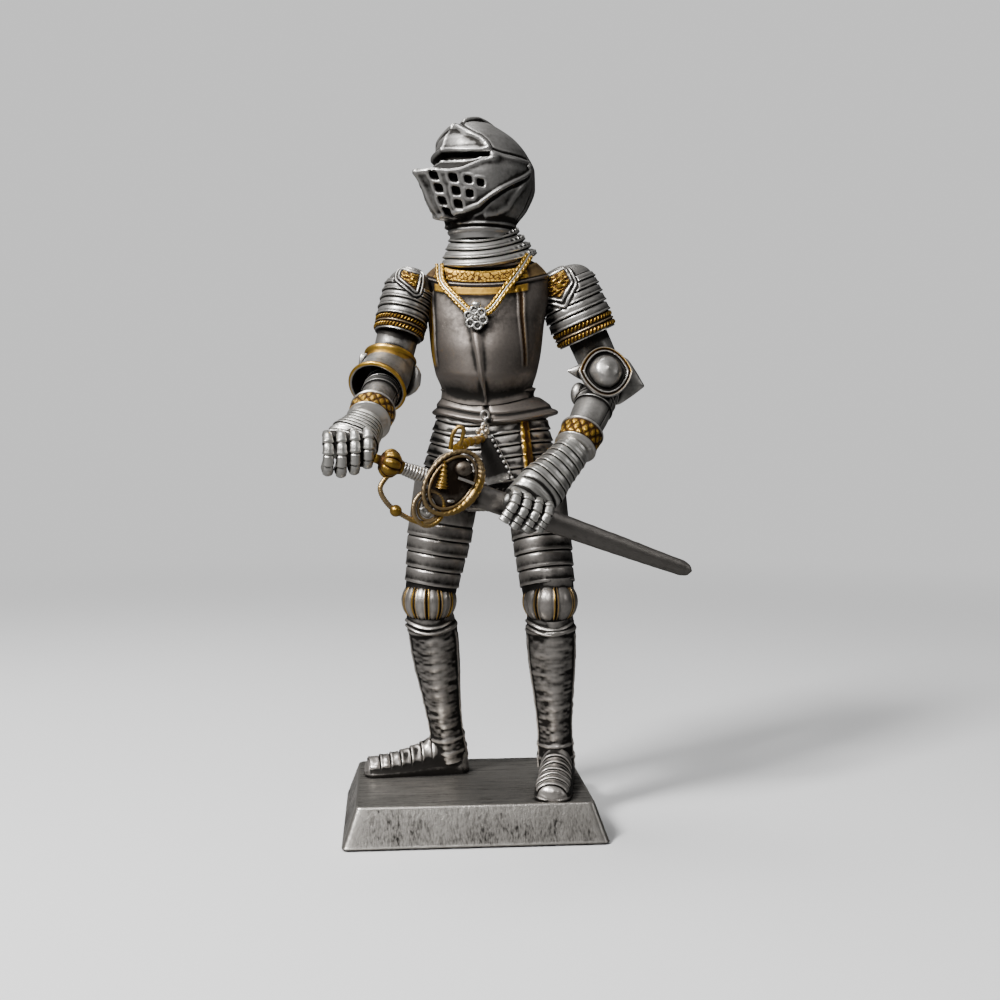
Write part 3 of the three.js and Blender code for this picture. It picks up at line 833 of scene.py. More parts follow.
@dataclass(frozen=True)
class Finish:
    """A cast metal finish: its rubbed colour, its patina and how much of it is left."""

    name: str
    metal: tuple[float, float, float]
    shade: tuple[float, float, float] = (0.022, 0.02, 0.018)
    gold: tuple[float, float, float] = (0.56, 0.33, 0.05)
    umber: tuple[float, float, float] = (0.06, 0.026, 0.008)
    soot: float = 0.4
    mottle: float = 0.3
    bump: float = 0.35
    haze: float = 0.0
    brushed: float = 0.0

    @staticmethod
    def streaks(sheet: "Nodes") -> Socket:
        """Brush marks: across on flat tops, up and down on the sides.

        Args:
            sheet: the material's nodes.

        Returns:
            The marks.
        """
        where = sheet.add("ShaderNodeTexCoord").outputs["Object"]
        axes = sheet.add("ShaderNodeSeparateXYZ")
        sheet.plug(sheet.add("ShaderNodeNewGeometry").outputs["Normal"], axes.inputs[0])
        marks = []
        for scale in ((1, 1, 0.03), (0.06, 1, 1)):
            stretch = sheet.add("ShaderNodeMapping")
            stretch.inputs["Scale"].default_value = scale
            sheet.plug(where, stretch.inputs["Vector"])
            fine = sheet.math("MULTIPLY", sheet.noise(stretch.outputs[0], 4200, 4), 0.65)
            broad = sheet.math("MULTIPLY", sheet.noise(stretch.outputs[0], 700, 2), 0.35)
            marks.append(sheet.math("ADD", fine, broad))
        flat = sheet.ramp(axes.outputs["Z"], 0.75, 0.95)
        across = sheet.math("MULTIPLY", marks[1], flat)
        down = sheet.math("MULTIPLY", marks[0], sheet.math("SUBTRACT", 1, flat))
        return sheet.math("ADD", across, down)

    def material(self) -> bpy.types.Material:
        """Builds the material once.

        Returns:
            The material, from the second call on the one that is there.
        """
        found = bpy.data.materials.get(self.name)
        if found:
            return found
        made = bpy.data.materials.new(self.name)
        made.use_nodes = True
        tree = made.node_tree
        tree.nodes.clear()
        sheet = Nodes(tree)
        group = sheet.add("ShaderNodeGroup")
        group.node_tree = Patina.group()
        colours = {"Metal": self.metal, "Shade": self.shade, "Gold": self.gold, "Umber": self.umber}
        for name, value in colours.items():
            group.inputs[name].default_value = (*value, 1)
        group.inputs["Soot"].default_value = self.soot
        group.inputs["Mottle"].default_value = self.mottle
        shader = sheet.add("ShaderNodeBsdfPrincipled")
        shader.inputs["Metallic"].default_value = 0.92
        sheet.plug(group.outputs["Color"], shader.inputs["Base Color"])
        rough = sheet.math("ADD", group.outputs["Roughness"], self.haze, clamp=True)
        sheet.plug(rough, shader.inputs["Roughness"])
        height = group.outputs["Height"]
        if self.brushed:
            streak = self.streaks(sheet)
            height = sheet.math("ADD", height, sheet.math("MULTIPLY", streak, self.brushed))
            grime = sheet.math("MULTIPLY", sheet.math("SUBTRACT", 0.5, streak), 3.2)
            sheet.plug(sheet.math("ADD", self.soot, grime, clamp=True), group.inputs["Soot"])
        bump = sheet.add("ShaderNodeBump")
        bump.inputs["Strength"].default_value = self.bump
        bump.inputs["Distance"].default_value = 0.00012
        sheet.plug(height, bump.inputs["Height"])
        sheet.plug(bump.outputs["Normal"], shader.inputs["Normal"])
        out = sheet.add("ShaderNodeOutputMaterial")
        sheet.plug(shader.outputs[0], out.inputs["Surface"])
        return made


FINISHES = {
    Tone.BRIGHT: Finish("Rubbed pewter", (0.66, 0.64, 0.60), soot=0.52, mottle=0.45),
    Tone.SATIN: Finish("Satin pewter", (0.60, 0.575, 0.54), soot=0.66, mottle=0.4),
    Tone.SMOKED: Finish("Smoked pewter", (0.47, 0.455, 0.435), soot=0.66, mottle=0.45, haze=0.05),
    Tone.DUSKY: Finish("Dusky pewter", (0.225, 0.196, 0.174), soot=0.56, mottle=0.4, haze=0.12),
    Tone.OXIDISED: Finish("Oxidised pewter", (0.56, 0.52, 0.48), soot=0.76, mottle=0.4),
    Tone.STEEL: Finish("Worn blade metal", (0.24, 0.222, 0.205), soot=0.7, mottle=0.8, bump=0.7, haze=0.06),
    Tone.TARNISHED: Finish(
        "Tarnished gilt", (0.56, 0.53, 0.49), gold=(0.36, 0.215, 0.04), soot=0.76, mottle=0.6
    ),
    Tone.BRUSHED: Finish("Brushed plinth pewter", (0.44, 0.415, 0.38), soot=0.42, mottle=0.4, brushed=0.8),
}


@dataclass(frozen=True)
class Limb:
    """A plate or limb: a centre line in parts, the way its front looks, and its half-sizes."""

    line: tuple[Point, ...]
    forward: Point
    stations: tuple[tuple[float, float, float, float], ...]
    power: float = 2.0
    keel: float = 0.0

    def base(self, turn: Array, share: Array) -> Array:
        """Points of the plain surface.

        Args:
            turn: angle round the line from its front.
            share: place along the line, from 0 to 1.

        Returns:
            Points in parts.
        """
        centre = curve(self.line, share)
        before, after = (curve(self.line, np.clip(share + shift, 0, 1)) for shift in (-0.01, 0.01))
        along = unit(after - before)
        side = unit(np.cross(np.asarray(self.forward, float), along))
        ahead = unit(np.cross(along, side))
        across, front, back = follow(self.stations, share).T
        c, s = np.cos(turn), np.sin(turn)
        depth = rounded(c, self.power) * np.where(c > 0, front, back) + self.keel * np.maximum(0, c) ** 8
        wide = across * rounded(s, self.power)
        return centre + side * wide[:, None] + ahead * depth[:, None]


def plates(low: float, high: float, count: int) -> Array:
    """Rings for a run of lames, crowded at the lip of each plate.

    Args:
        low: share where the first plate starts.
        high: share where the last plate ends.
        count: number of plates.

    Returns:
        The shares of the rings.
    """
    face = [0.005, 0.04, 0.08, 0.13, 0.2, 0.35, 0.5, 0.62, 0.72]
    local = np.array([*face, 0.8, 0.86, 0.91, 0.945, 0.965, 0.985])
    return np.concatenate([low + (high - low) * (i + local) / count for i in range(count)])


def levels(*runs: Sequence[float]) -> Array:
    """Joins runs of shares into one rising row without near doubles.

    Args:
        runs: rows of shares, or tuples of a first share, a last share and their number.

    Returns:
        The rising row.
    """
    spread = [np.linspace(*run) if isinstance(run, tuple) else run for run in runs]
    row = np.unique(np.concatenate(spread))
    keep = np.concatenate([[True], np.diff(row) > (row[-1] - row[0]) * 1e-5])
    return row[keep]


@dataclass(frozen=True)
class Helmet:
    """Closed helmet turned to its right: skull with comb, pointed visor with sight and breaths."""

    centre: Point = (1.6, 2.5, 87.9)
    yaw: float = 57.0
    skull: tuple = (
        (-9.8, 4.4, 4.4, 4.5), (-8.4, 4.5, 4.7, 4.6), (-7.2, 5.1, 5.4, 5.4), (-5.0, 6.3, 6.5, 7.2),
        (-2.0, 7.1, 7.0, 8.4), (0.4, 7.1, 7.0, 8.3), (2.5, 6.6, 6.7, 6.9), (4.5, 5.3, 5.8, 4.9),
        (6.2, 3.1, 4.2, 2.3), (7.1, 1.4, 2.6, 0.6), (7.35, 0.4, 1.5, -0.8),
    )
    visor: tuple = (
        (-9.8, 4.5, 4.5, 0.2), (-7.9, 5.1, 5.3, 1.0), (-5.5, 6.7, 6.7, 2.2), (-3.2, 7.5, 7.3, 2.9),
        (-1.15, 7.6, 7.5, 4.0), (-0.5, 7.6, 7.5, 2.6), (0.4, 7.5, 7.4, 0.5), (1.3, 7.4, 7.2, 0),
        (4.2, 6.1, 6.5, 0), (5.3, 4.9, 5.6, 0), (6.4, 3.3, 4.5, 0), (7.35, 0.4, 1.5, 0),
    )
    edge: tuple = (
        (-20, 6.5), (15, 6.2), (32, 5.3), (47, 4.4), (55, 3.9), (61, 3.1), (65, 1.9), (80, 1.5),
        (100, 1.35), (118, 1.3), (121, 0.3), (116, -0.8), (107, -1.55), (91, -2.66), (76, -3.76),
        (65, -4.74), (53, -5.96), (39, -6.6), (21, -7.06), (0, -7.4), (-20, -7.4),
    )
    lobe: tuple = ((0, 6.3), (15, 6.0), (32, 5.1), (46, 4.25), (54, 3.75), (59.5, 3.05), (60.5, 2.2))
    brow: tuple = ((0, 2.65), (22, 2.2), (40, 2.0), (52, 2.0), (60.5, 2.1))
    snout: tuple = (
        (0, -1.2), (14, -1.0), (20, -1.1), (28, -1.2), (37, -0.95), (43, -0.45), (49, 0.05), (54, 0.35),
        (64, 0.6),
    )
    bevor: tuple = ((62, -6.9), (77, -6.6), (92, -5.6), (97, -4.2), (107, -2.2))
    columns: tuple = (
        (15, (-1.75, -3.4, -5.1, -6.5)),
        (30.5, (-2.1, -3.85, -5.6)),
        (43, (-2.35, -4.25)),
        (54, (-2.75,)),
    )
    hole: float = 0.53
    degree: float = 0.1257

    @property
    def ahead(self) -> Array:
        """The way that the helmet looks."""
        turn = math.radians(self.yaw)
        return np.array([-math.sin(turn), -math.cos(turn), 0])

    def place(self, ahead: Array, side: Array, up: Array) -> Array:
        """Points of the helmet from distances ahead, to its left and up."""
        left = np.cross(UP, self.ahead)
        ahead, side, up = (np.atleast_1d(v)[:, None] for v in (ahead, side, up))
        return np.array(self.centre) + self.ahead * ahead + left * side + UP * up

    def depth(self, turn: Array, up: Array) -> Array:
        """Signed distance into the visor, in parts on the unrolled helmet."""
        outline = [(x * self.degree, y) for x, y in self.edge]
        return inside(outline, np.abs(np.degrees((turn + math.pi) % math.tau - math.pi)) * self.degree, up)

    def base(self, turn: Array, up: Array) -> Array:
        """The skull's surface, and the visor's where it covers the skull."""
        across, front, back = follow(self.skull, up).T
        c, s = np.cos(turn), np.sin(turn)
        ahead = np.where(c > 0, front, back) * c
        side = across * s
        wide, long, tip = follow(self.visor, up).T
        over = step(-0.1, 0.14, self.depth(turn, up))
        prow = c * np.where(c > 0, long, back) + tip * np.maximum(0, 1 - np.abs(s)) ** 1.4 * (c > 0)
        return self.place(ahead + over * (prow - ahead), side + over * (wide * s - side), up)

    def carve(self, relief: Relief) -> None:
        """Rims, sight, breaths and the ridge of the bevor."""
        turn, up = relief.turn, relief.share
        depth = self.depth(turn, up)
        on = step(-0.05, 0.12, depth)
        low = step(1.0, 0.0, up)
        relief.height += (0.1 + 0.2 * low) * hump(depth, 0.4, 0.25) * on - 0.2 * hump(depth, -0.3, 0.2)
        degrees = np.abs(np.degrees(turn))

        def near(line: Sequence[Point]) -> Array:
            """Distance from a line drawn in degrees and heights."""
            return distance_to([(x * self.degree, y) for x, y in line], degrees * self.degree, up)

        relief.height += 0.26 * hump(near(self.lobe), 0, 0.6) + 0.22 * hump(near(self.brow), 0, 0.34)
        rivet = ((66, 0.9), (67, 0.8))
        relief.height += 0.26 * hump(near(self.snout), 0, 0.4) + 0.4 * hump(near(rivet), 0, 0.6)
        relief.height += 0.24 * hump(near(self.bevor), 0, 0.5)
        top = np.interp(degrees, (0, 29, 60), (2.15, 1.7, 1.62))
        base = np.interp(degrees, (0, 10, 31, 60), (1.2, 1.1, 0.8, 1.0))
        sight = plateau(up, base, top, 0.09) * (1 - step(60, 63, degrees)) * on
        relief.height -= 1.25 * sight
        relief.darken(sight)
        shelf = np.interp(degrees, *zip(*self.snout))
        hollow = plateau(up, shelf + 0.3, base, 0.2) * on * (1 - step(46, 58, degrees))
        relief.height -= 0.4 * hollow
        relief.darken(0.45 * hollow)
        panel = plateau(up, 2.6, np.interp(degrees, *zip(*self.lobe)) - 0.5, 0.3)
        panel *= 1 - step(48, 56, degrees)
        relief.height -= 0.16 * panel
        rate = np.linalg.norm(self.base(turn + 0.01, up) - self.base(turn - 0.01, up), axis=1) / 0.02
        for column, rows in self.columns:
            for row in rows:
                across = rate * (np.abs(turn) - math.radians(column))
                size = self.hole * (1 - 0.12 * (column > 40))
                away = (np.abs(across) ** 4 + np.abs(up - row + 0.12 * across) ** 4) ** 0.25
                pit = 1 - step(size - 0.1, size + 0.1, away)
                relief.height += 0.07 * hump(away, size + 0.28, 0.2) * (1 - pit) - pit
                relief.darken(pit)
        relief.height += 0.4 * (hump(up, -7.75, 0.2) + hump(up, -8.6, 0.2)) * (1 - on)
        relief.height += 0.2 * hump(turn, 0, 0.05) * on * (1 - sight)
        relief.height -= 0.12 * hump(np.abs(turn), 2.2, 0.03) * (1 - on) * step(1, 4, -up)

    def comb(self) -> Object:
        """The low ridge over the top of the skull, thin and round-edged."""
        crest = (
            (3.5, 7.0), (2.9, 7.6), (1.6, 8.0), (0.2, 8.1), (-1.8, 7.5), (-4.2, 6.0), (-6.4, 4.1),
            (-8.2, 1.4),
        )
        floor = (
            (3.4, 5.0), (2.8, 5.4), (1.6, 5.9), (0.1, 6.0), (-1.6, 5.5), (-3.6, 4.3), (-5.4, 2.8),
            (-7.0, 0.8),
        )

        def base(turn: Array, share: Array) -> Array:
            """Thin sections between the crest and the floor."""
            high = curve([(a, 0, u) for a, u in crest], share)
            deep = curve([(a, 0, u) for a, u in floor], share)
            middle, half = (high + deep) / 2, (high - deep) / 2
            spine = middle + half * rounded(np.cos(turn), 3)[:, None]
            side = 0.55 * rounded(np.sin(turn), 3) * np.minimum(1, 14 * share + 0.6)
            return self.place(spine[:, 0], side, spine[:, 2])

        def paint(relief: Relief) -> None:
            """Painted shade on the side away from the light."""
            relief.dark = 0.6 * step(0.1, 0.6, np.sin(relief.turn))

        return Bench.loft("comb", base, np.linspace(0, 1, 70), 24, paint)

    def build(self) -> Object:
        """Models the helmet and returns it as one piece."""
        rows = levels((-9.8, -6.9, 12), (-6.9, 1.3, 76), (1.3, 3.4, 32), (3.4, 5.8, 22), (5.8, 7.35, 14))
        shell = Bench.loft("helmet_shell", self.base, rows, 336, self.carve, crowd=0.42)
        out = np.cross(UP, self.ahead)
        studs = []
        for hand in (-1, 1):
            spot = self.place(-3.4, hand * 6.5, 0.35)[0]
            look = unit(out * hand * 0.85 - self.ahead * 0.5)
            studs.append(Bench.dome("pivot", spot + look * 0.15, look, (0.6, 0.5, 0.6)))
        return Bench.weld("helmet", [shell, self.comb(), *studs])


@dataclass(frozen=True)
class Gorget:
    """Standing collar of lames with rolled, studded edges."""

    tilt: float = 0.14

    def base(self, turn: Array, share: Array) -> Array:
        """Rings of the collar, lower to the front and to the right."""
        across = 4.3 + 2.5 * share
        x = across * np.sin(turn)
        y = across * 0.86 * np.cos(turn)
        z = 79.8 - 4.5 * share + self.tilt * (x - y * 0.5) - 0.9 * np.maximum(0, np.cos(turn)) ** 2
        return np.stack([1.9 + 0.9 * share + x, 3.0 - y, z], 1)

    def carve(self, relief: Relief) -> None:
        """Four lames, beaded on the right."""
        relief.lames(0, 1, 4, 0.55)
        bead = hump(((relief.share * 4) % 1), 0.55, 0.2) * step(0.3, 0.8, np.cos(relief.turn * 40))
        right = step(0.45, 0.8, np.sin(relief.turn)) * step(-0.7, -0.2, np.cos(relief.turn))
        relief.height += 0.32 * bead * right

    def build(self) -> Object:
        """Models the collar."""
        rows = levels([0.0, 1.0], plates(0, 1, 4))
        return Bench.loft("gorget", self.base, rows, 220, self.carve)


@dataclass(frozen=True)
class Cuirass:
    """Breastplate and backplate with keel, gilt borders and waist rims."""

    twist: float = 12.0
    y: float = 2.6
    stations: tuple = (
        (76.0, 2.8, 4.6, 3.4, 4.0, 0.0, 0.0),
        (74.6, 2.7, 7.4, 4.2, 4.6, 0.0, 0.0),
        (72.4, 2.5, 9.2, 4.7, 5.2, 0.0, 0.0),
        (70.0, 2.5, 9.1, 5.0, 5.5, 0.0, 0.0),
        (66.5, 2.4, 8.5, 5.7, 5.6, 0.3, 0.0),
        (62.0, 2.4, 8.0, 6.4, 5.3, 0.6, 0.0),
        (59.0, 2.4, 7.4, 6.3, 4.9, 0.7, 0.4),
        (56.4, 2.5, 6.6, 5.2, 4.5, 0.5, 1.2),
        (55.4, 2.5, 6.7, 5.3, 4.6, 0.4, 1.2),
    )

    def level(self, turn: Array, rows: Array, twist: float, y: float, height: Array, power: float) -> Array:
        """Points of level sections.

        Args:
            turn: angle from the front.
            rows: x, across, front, back, keel and dip for each point.
            twist: turn of the section about the vertical, in degrees.
            y: middle of the section, front to back.
            height: height of the section.
            power: of its superellipse.

        Returns:
            Points in parts.
        """
        x, across, front, back, keel, dip = rows.T
        c, s = np.cos(turn), np.sin(turn)
        ahead = rounded(c, power) * np.where(c > 0, front, back) + keel * np.maximum(0, c) ** 8
        side = across * rounded(s, power)
        a = math.radians(twist)
        return np.stack([
            x + side * math.cos(a) - ahead * math.sin(a),
            y - side * math.sin(a) - ahead * math.cos(a),
            height - dip * np.maximum(0, c) ** 3,
        ], 1)

    def base(self, turn: Array, height: Array) -> Array:
        """Plain surface of the breast and back."""
        return self.level(turn, follow(self.stations, height), self.twist, self.y, height, 2.3)

    def carve(self, relief: Relief) -> None:
        """Neckline, arm borders, keel and the seam between breast and back."""
        turn, z = relief.turn, relief.share
        front = step(0.1, 0.3, np.cos(turn))
        ridge = turn - 0.02 + 0.014 * (z - 59)
        relief.height += 0.34 * hump(ridge, 0, 0.03 + 0.004 * (z - 59)) * step(67.5, 65.5, z) * front
        neck = 71.6 + 1.6 * np.sin(turn) ** 2
        middle = plateau(turn, -0.85, 0.72, 0.04)
        upper = plateau(z, neck, neck + 1.7, 0.1) * front
        relief.panel(upper * middle, 0.28, 1, 0.8)
        relief.panel(upper * (1 - middle), 0.2, 0.5, 0)
        relief.darken(upper * (1 - middle) * 0.35)
        relief.height += 0.26 * hump(z, neck - 0.3, 0.22) * front
        relief.height -= 0.3 * hump(z, neck + 2.0, 0.2) * front
        relief.panel(plateau(z, neck - 1.8, neck - 0.7, 0.1) * front * middle, 0.12, 1, 0)
        reach = plateau(z, 60.0, 70.6, 0.5) * front
        left = turn + 1.0 + 0.008 * (70 - z)
        right = turn - 0.58 - 0.03 * (70 - z)
        relief.panel(plateau(left, -0.07, 0.08, 0.012) * reach, 0.2, 1, 0.1)
        relief.panel(plateau(right, -0.035, 0.035, 0.01) * reach, -0.08, 0.7, 0)
        edges = ((left - 0.1, 0.2), (left + 0.09, 0.2), (right - 0.06, 0.12), (right + 0.06, 0.12))
        for edge, size in edges:
            relief.height += size * hump(edge, 0, 0.025) * reach
        seam = hump(np.abs(turn), math.pi / 2 + 0.1, 0.035) * plateau(z, 56.5, 66, 0.6)
        relief.height -= 0.4 * seam
        back = 1 - front
        relief.height += 0.35 * hump(np.abs(np.abs(turn) - 2.5), 0, 0.03) * back * plateau(z, 57, 70, 1)
        relief.height -= 0.3 * hump(np.abs(turn), math.pi, 0.03) * back * plateau(z, 56.5, 73, 1)

    def flange_base(self, turn: Array, height: Array) -> Array:
        """The flared plate below the waist."""
        rows = follow((
            (57.0, 2.6, 6.4, 4.8, 4.4, 0.3, 1.2),
            (56.2, 2.8, 6.6, 5.0, 4.5, 0.3, 1.3),
            (54.2, 3.5, 8.5, 5.9, 5.6, 0.3, 1.3),
            (53.4, 3.7, 8.9, 6.0, 5.8, 0.3, 1.3),
            (52.8, 3.6, 8.5, 5.7, 5.5, 0.3, 1.3),
            (52.5, 3.6, 7.4, 4.9, 4.7, 0.3, 1.3),
        ), height)
        return self.level(turn, rows, 6, 2.6, height, 2.0)

    def flange_carve(self, relief: Relief) -> None:
        """Rolled rims round the waist."""
        z = relief.share
        relief.height += 0.5 * hump(z, 56.6, 0.3) - 0.35 * hump(z, 55.9, 0.25)
        relief.height += 0.35 * hump(z, 53.3, 0.32) - 0.2 * hump(z, 54.1, 0.25)
        relief.height -= 0.45 * hump(relief.turn, -0.08, 0.035) * step(55.8, 55.2, z) * step(52.6, 53, z)

    def build(self) -> Object:
        """Models breast, back and waist."""
        rows = levels((55.4, 70, 74), (70, 76, 60))
        shell = Bench.loft("breast", self.base, rows, 248, self.carve, crowd=0.3)
        rows = levels((52.5, 57.0, 44))
        waist = Bench.loft("waist", self.flange_base, rows, 200, self.flange_carve)
        return Bench.weld("cuirass", [shell, waist])


@dataclass(frozen=True)
class Fauld:
    """Skirt of lames below the waist, parted in the middle, with the seat under it."""

    top: float = 54.6
    drop: float = 10.6
    count: int = 6

    def base(self, turn: Array, share: Array) -> Array:
        """Plain surface from the waist to the hem."""
        across = 7.5 + 2.5 * share
        depth = across * 0.66
        x = across * np.sin(turn)
        y = depth * np.cos(turn)
        a = math.radians(4)
        z = self.top - self.drop * share - 1.15 * hump(turn, -0.35, 0.75) * step(0, 0.2, share)
        return np.stack([
            3.2 - 0.2 * share + x * math.cos(a) - y * math.sin(a),
            2.4 - x * math.sin(a) - y * math.cos(a),
            z,
        ], 1)

    def carve(self, relief: Relief) -> None:
        """The lames, their split, the strap and its studs."""
        relief.lames(0.05, 1, self.count, 0.34)
        relief.height += 0.05 * wrinkle(relief.turn, relief.share, 40, 24, 5)
        strap = plateau(relief.turn, 0.50, 0.68, 0.012) * step(0.16, 0.2, relief.share)
        relief.height = relief.height * (1 - strap) + strap * 0.36
        relief.gild(strap)
        relief.dark = np.maximum(0.16 * (1 - strap), 0.6 * plateau(relief.turn, 0.57, 0.68, 0.02))
        stud = hump(relief.turn, 0.53, 0.022) * hump((relief.share * 11) % 1, 0.5, 0.26) * strap
        relief.height += 0.3 * stud

    def seat_base(self, turn: Array, height: Array) -> Array:
        """The hips under the skirt."""
        stations = (
            (46.0, 9.0, 6.1), (45.0, 9.0, 6.1), (41.0, 8.5, 5.5), (39.6, 6.6, 4.6), (39.2, 5.6, 4.0),
        )
        across, depth = follow(stations, height).T
        return np.stack([3.1 + across * np.sin(turn), 2.4 - depth * np.cos(turn), height], 1)

    def seat_carve(self, relief: Relief) -> None:
        """Mail links in staggered rows."""
        row = relief.share / 0.75
        shift = (np.floor(row) % 2) * 0.5
        column = relief.turn * 9.5 + shift
        ring = np.hypot((row % 1) - 0.5, (column % 1) - 0.5)
        relief.height += 0.22 * hump(ring, 0.3, 0.14)
        relief.dark[:] = 0.35

    def build(self) -> Object:
        """Models the skirt and the hips."""
        rows = levels([0, 0.03, 1.0], plates(0.05, 1, self.count))
        skirt = Bench.loft("skirt", self.base, rows, 296, self.carve)
        rows = levels((39.2, 46, 38))
        seat = Bench.loft("seat", self.seat_base, rows, 190, self.seat_carve)
        return Bench.weld("fauld", [skirt, seat])


@dataclass(frozen=True)
class Arm:
    """Shoulder plates, plain upper plate, elbow cop, forearm plate and ornamented cuff."""

    name: str
    crown: Point
    shoulder: Point
    elbow: Point
    wrist: Point
    wide: float
    depth: float
    panel: tuple
    forearm: tuple

    def pauldron(self) -> Object:
        """The shoulder: gilt panel in a double frame, silver lames, gilt ropes."""
        end = (np.array(self.shoulder) + np.array(self.elbow)) / 2
        wide, deep = self.wide, self.depth
        sizes = ((0, 0.2), (0.03, 0.45), (0.08, 0.66), (0.17, 0.85), (0.3, 0.97), (0.5, 1.0), (1, 0.98))
        stations = tuple(
            (share, wide * size, *[wide * size * (deep if share else 1)] * 2) for share, size in sizes
        )
        form = Limb((self.crown, self.shoulder, tuple(end)), FRONT, stations)

        def carve(relief: Relief) -> None:
            """Lames, the framed panel and two ropes with a rim between them."""
            s, turn = relief.share, relief.turn
            relief.lames(0.32, 0.83, 5, 0.5)
            outline = [(x * wide, y * 8) for x, y in self.panel]
            away = inside(outline, turn * wide, s * 8)
            frame = step(-1.15, -0.95, away)
            relief.height *= 1 - frame
            relief.height += 0.3 * (hump(away, -0.75, 0.2) + hump(away, -0.2, 0.2))
            field = step(0.0, 0.2, away)
            relief.panel(field, 0.16, 1, 0.35)
            relief.height += 0.14 * field * wrinkle(turn, s, 44, 60, 17)
            relief.height += 0.22 * hump(away, 1.1, 0.35)
            relief.rope(0.86, 0.026, 0.34, 46)
            relief.rim(0.908, 0.014, 0.3, 0.5)
            relief.rope(0.955, 0.026, 0.34, 46)
            relief.darken(0.22 * step(0.83, 0.84, s))

        rows = levels([0, 0.01, 0.03], (0.05, 0.32, 40), plates(0.32, 0.83, 5), (0.835, 1.0, 44))
        return Bench.loft("pauldron", form.base, rows, 264, carve)

    def upper(self) -> Object:
        """The plain plate of the upper arm, with a seam at its back."""
        stations = ((0, 3.0, 3.0, 3.0), (0.4, 3.0, 3.0, 3.0), (1.0, 2.85, 2.9, 2.9))
        form = Limb((self.shoulder, self.elbow), FRONT, stations)

        def carve(relief: Relief) -> None:
            """The seam."""
            relief.height -= 0.15 * hump(relief.turn, 1.9, 0.05)

        return Bench.loft("upper_plate", form.base, np.linspace(0.4, 1.0, 22), 90, carve)

    def lower(self) -> Object:
        """The plate of the forearm with its etched cuff."""
        stations = (*self.forearm, (0.76, 2.45, 2.45, 2.45), (1.0, 2.3, 2.3, 2.3))
        form = Limb((self.elbow, self.wrist), UP, stations)

        def carve(relief: Relief) -> None:
            """Lames below the elbow and a lattice of lobes on the cuff."""
            s = relief.share
            cuff = plateau(s, 0.74, 0.99, 0.008)
            relief.panel(cuff * plateau(s, 0.78, 0.95, 0.01), 0, 1, 0.5)
            relief.height += 0.5 * cuff + 0.26 * (hump(s, 0.762, 0.014) + hump(s, 0.972, 0.014))
            round_, along = relief.turn * 7, (s - 0.865) * 22
            lobes = np.abs(np.sin(round_ + along) * np.sin(round_ - along))
            relief.height += 0.2 * lobes * plateau(s, 0.79, 0.94, 0.02)
            relief.height -= 0.14 * hump(np.abs(relief.turn), 1.5, 0.05) * (1 - cuff)
            relief.lames(0.12, 0.44, 3, 0.22)

        rows = levels([0.0, 0.06], plates(0.12, 0.44, 3), (0.46, 0.7, 8), (0.71, 1.0, 56))
        return Bench.loft("lower_plate", form.base, rows, 150, carve)

    def cop(self) -> list[Object]:
        """The pieces of the elbow cop."""
        raise NotImplementedError

    def build(self) -> Object:
        """Models the arm down to the cuff."""
        return Bench.weld(self.name, [self.upper(), self.pauldron(), self.lower(), *self.cop()])


class OpenElbow(Arm):
    """An elbow seen into its cup: two rims, one round the upper arm and one round the forearm."""

    def cop(self) -> list[Object]:
        """A hollow cup with gilt rims and a wing to each side."""
        line = ((-11.5, 1.6, 61.2), (-12.0, 0.6, 59.2), (-13.5, -2.8, 56.5))
        profile = (
            (0.0, 0.0, 0.4), (0.03, 0.0, 3.2), (0.05, 0.0, 3.55), (0.1, 0.1, 3.6), (0.3, 0.45, 3.6),
            (0.5, 0.8, 3.8), (0.62, 0.98, 4.05), (0.66, 1.0, 3.95), (0.68, 0.99, 3.75), (0.8, 0.8, 3.4),
            (0.9, 0.62, 3.0), (1.0, 0.6, 0.3),
        )

        def cup(turn: Array, share: Array) -> Array:
            """Out along the wall to the lower rim and back up inside."""
            place, size = follow(profile, share).T
            shell = Limb(line, FRONT, ((0, 1, 1, 1), (1, 1, 1, 1))).base(turn, place)
            centre = curve(line, place)
            return centre + (shell - centre) * size[:, None]

        def carve(relief: Relief) -> None:
            """Gilt rims, and painted shade inside the cup."""
            s = relief.share
            relief.height += 0.26 * (hump(s, 0.07, 0.02) + hump(s, 0.61, 0.022))
            band = step(-0.2, 0.5, np.cos(relief.turn + 0.75))
            relief.gild(plateau(s, 0.04, 0.1 + 0.18 * band, 0.02))
            relief.gild(plateau(s, 0.56, 0.66, 0.01))
            # Painted shade inside the hollow of the cup.
            relief.darken(step(0.67, 0.72, s))

        inner = Limb(((-12.0, 1.6, 58.4), (-7.2, 0.6, 57.9)), FRONT, (
            (0, 3.4, 0.8, 0.8), (0.6, 2.7, 0.5, 0.5), (0.9, 1.7, 0.4, 0.4), (1, 0.8, 0.2, 0.2),
        ))
        outer = Limb(((-12.5, 0.8, 60.2), (-16.0, 0.2, 60.7)), FRONT, (
            (0, 2.4, 1.0, 1.0), (0.7, 1.15, 0.45, 0.45), (0.95, 0.9, 0.25, 0.25), (1, 0.6, 0.1, 0.1),
        ))
        rows = levels((0, 0.12, 16), (0.14, 0.54, 14), (0.55, 0.72, 22), (0.75, 1, 8))
        return [
            Bench.loft("cup", cup, rows, 140, carve),
            Bench.loft("inner_wing", inner.base, np.linspace(0, 1, 20), 60, coat(0, 0.45)),
            Bench.loft("outer_wing", outer.base, np.linspace(0, 1, 20), 60),
        ]


